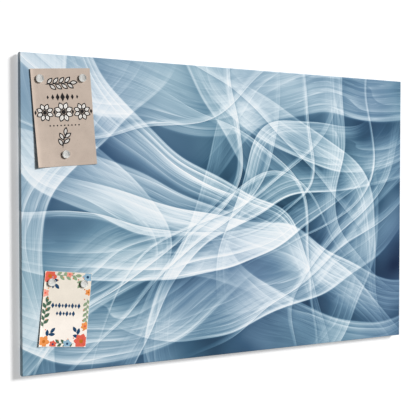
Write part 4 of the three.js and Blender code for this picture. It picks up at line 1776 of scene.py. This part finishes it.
@dataclass
class Studio:
    """The wall that the board hangs on, a floor, the lamps and the camera.

    Sizes are in metres, angles in degrees. Each span is a range of a heading's X or Y.
    """

    wall_gap: float = 0.5 * MM
    wall_size: float = 12.0
    floor_level: float = -1.3
    wall_tone: float = 0.65
    wall_glow: float = 0.425
    floor_tone: float = 1.0
    floor_glow: float = 0.2
    key_side: float = 40.0
    key_height: float = 23.0
    key_strength: float = 3.76
    rear_toward: tuple[float, float, float] = (0.35, 0.85, 0.4)
    rear_strength: float = 1.7
    lamp_angle: float = 16.0
    ambient_left: float = 0.0
    ambient_right: float = 0.34
    ambient_span: Span = (-0.7, 1.0)
    ambient_rear: float = 0.44
    ambient_rear_span: Span = (-0.2, 0.2)
    mirror_left: float = 1.27
    mirror_right: float = 0.05
    mirror_span: Span = (0.05, 0.75)
    mirror_edge: float = 0.12
    mirror_edge_span: Span = (-0.35, 0.0)
    mirror_rear: float = 0.8
    mirror_rear_span: Span = (-0.3, 0.3)
    lens: float = 67.44
    sensor: float = 36.0
    clip: Span = (0.01, 50.0)
    camera_place: tuple[float, float, float] = (-0.80742, -1.46560, 0.04996)
    camera_turn: tuple[float, float, float] = (88.390, 0.040, -27.401)

    def build(self) -> None:
        """Builds the stage, the lamps, the world and the camera."""
        upright = Matrix.Rotation(math.radians(90), 4, "X")
        self.build_plane("wall", Matrix.Translation((0, self.wall_gap, 0)) @ upright,
                         self.wall_tone, self.wall_glow)
        self.build_plane("floor", Matrix.Translation((0, 0, self.floor_level)),
                         self.floor_tone, self.floor_glow)
        side, up = math.radians(self.key_side), math.radians(self.key_height)
        toward = Vector((math.sin(side) * math.cos(up), -math.cos(side) * math.cos(up), math.sin(up)))
        self.build_sun("key", toward, self.key_strength)
        self.build_sun("rear_fill", Vector(self.rear_toward), self.rear_strength)
        self.build_world()
        self.build_camera()
        bpy.context.scene.view_settings.view_transform = "Standard"

    def build_plane(self, name: str, place: Matrix, tone: float, glow: float) -> None:
        """Builds a pale plane of the stage.

        Args:
            name: The plane's name.
            place: Where it goes.
            tone: How much light it sends back.
            glow: How much it gives of its own.
        """
        shape = bmesh.new()
        bmesh.ops.create_grid(shape, x_segments=1, y_segments=1, size=self.wall_size / 2)
        bmesh.ops.transform(shape, matrix=place, verts=shape.verts)
        plane = add_shape(name, shape)
        plane.data.materials.append(self.backdrop_paint(name, tone, glow))

    @staticmethod
    def backdrop_paint(name: str, tone: float, glow: float) -> bpy.types.Material:
        """Makes a white paint that shows from its front alone and keeps the object's shadow.

        It shows to rays of the camera, a reflection or a see-through piece, and lets others through.

        Args:
            name: The painted plane's name.
            tone: How much light it sends back.
            glow: How much it gives of its own.

        Returns:
            The paint.
        """
        material, graph = blank_material(f"{name}_paint")
        matt = graph.node("BsdfDiffuse", {"Color": (tone, tone, tone, 1.0)})
        shine = graph.node("Emission", {"Strength": glow})
        paint = graph.node("AddShader", {0: matt.outputs[0], 1: shine.outputs[0]})
        path = graph.node("LightPath").outputs
        straight = graph.math("ADD", path["Is Camera Ray"], path["Is Glossy Ray"])
        looking = graph.math("ADD", straight, path["Is Transmission Ray"], clamp=True)
        in_front = graph.math("SUBTRACT", 1.0, graph.node("NewGeometry").outputs["Backfacing"])
        clear = graph.node("BsdfTransparent")
        mix = graph.node("MixShader", {0: graph.times(looking, in_front),
                                       1: clear.outputs[0], 2: paint.outputs[0]})
        graph.node("OutputMaterial", {"Surface": mix.outputs[0]})
        return material

    def build_sun(self, name: str, toward: Vector, strength: float) -> None:
        """Builds a broad soft lamp.

        Args:
            name: The lamp's name.
            toward: The heading that it shines from.
            strength: How strong it is.
        """
        lamp = bpy.data.lights.new(name, "SUN")
        lamp.energy = strength
        lamp.angle = math.radians(self.lamp_angle)
        holder = add_object(name, lamp)
        holder.rotation_mode = "QUATERNION"
        holder.rotation_quaternion = toward.to_track_quat("Z", "Y")
        holder.visible_glossy = False

    def build_world(self) -> None:
        """Makes a soft light from all round, seen as white, with a pale screen that the metal mirrors."""
        world = bpy.data.worlds.new("studio")
        world.use_nodes = True
        world.node_tree.nodes.clear()
        graph = Graph(world.node_tree)
        x, y, _ = graph.parts(graph.node("TexCoord").outputs["Generated"])
        ambient = graph.ramp_value(x, *self.ambient_span, self.ambient_left, self.ambient_right)
        even = graph.ramp_value(y, *self.ambient_rear_span, ambient, self.ambient_rear)
        fading = graph.ramp_value(x, *self.mirror_span, self.mirror_left, self.mirror_right)
        edge = graph.ramp_value(x, *self.mirror_edge_span, self.mirror_edge, 1.0, smooth=True)
        screen = graph.times(fading, edge)
        mirrored = graph.ramp_value(y, *self.mirror_rear_span, screen, self.mirror_rear)
        path = graph.node("LightPath").outputs
        lit = graph.ramp_value(path["Is Glossy Ray"], 0.0, 1.0, even, mirrored)
        looking = graph.math("MAXIMUM", path["Is Camera Ray"], path["Is Transmission Ray"])
        strength = graph.ramp_value(looking, 0.0, 1.0, lit, 1.0)
        light = graph.node("Background", {"Color": (1.0, 1.0, 1.0, 1.0), "Strength": strength})
        graph.node("OutputWorld", {"Surface": light.outputs[0]})
        bpy.context.scene.world = world

    def build_camera(self) -> None:
        """Puts the camera where the photograph was taken from."""
        data = bpy.data.cameras.new("camera")
        data.lens = self.lens
        data.sensor_width = self.sensor
        data.clip_start, data.clip_end = self.clip
        camera = add_object("camera", data)
        camera.location = self.camera_place
        camera.rotation_euler = [math.radians(angle) for angle in self.camera_turn]
        bpy.context.scene.camera = camera


def note() -> PinnedCard:
    """Gives the tall card of recycled stock, held at both upper corners and low in the middle."""
    return PinnedCard(
        body="note", node="note_card", width=115.5, height=183.0, centre=(-367.3, 183.0), tilt=-4.3,
        magnets={"note_magnet_left": (-41.25, 73.0), "note_magnet_right": (41.25, 73.0),
                 "note_magnet_lower": (-2.5, -69.5)},
        curls=(Curl(180, 1.8), Curl(200, 4.0), Curl(315, 1.0)),
        paper=NOTE_PAPER, motifs=note_motifs())


def invite() -> PinnedCard:
    """Gives the small cream card, held near its top, its lower end free."""
    return PinnedCard(
        body="invite", node="invite_card", width=92.0, height=142.0, centre=(-366.6, -180.3), tilt=5.7,
        magnets={"invite_magnet_left": (-32.0, 50.5), "invite_magnet_right": (31.5, 50.5)},
        curls=(Curl(180, 1.2), Curl(200, 1.5), Curl(315, 1.0)),
        paper=INVITE_PAPER, motifs=invite_motifs())


def main() -> None:
    """Builds the studio and every sub-assembly in order."""
    logging.basicConfig(level=logging.INFO)
    Studio().build()
    Board().build()
    Hanging().build()
    note().build()
    invite().build()


if __name__ == "__main__":
    main()
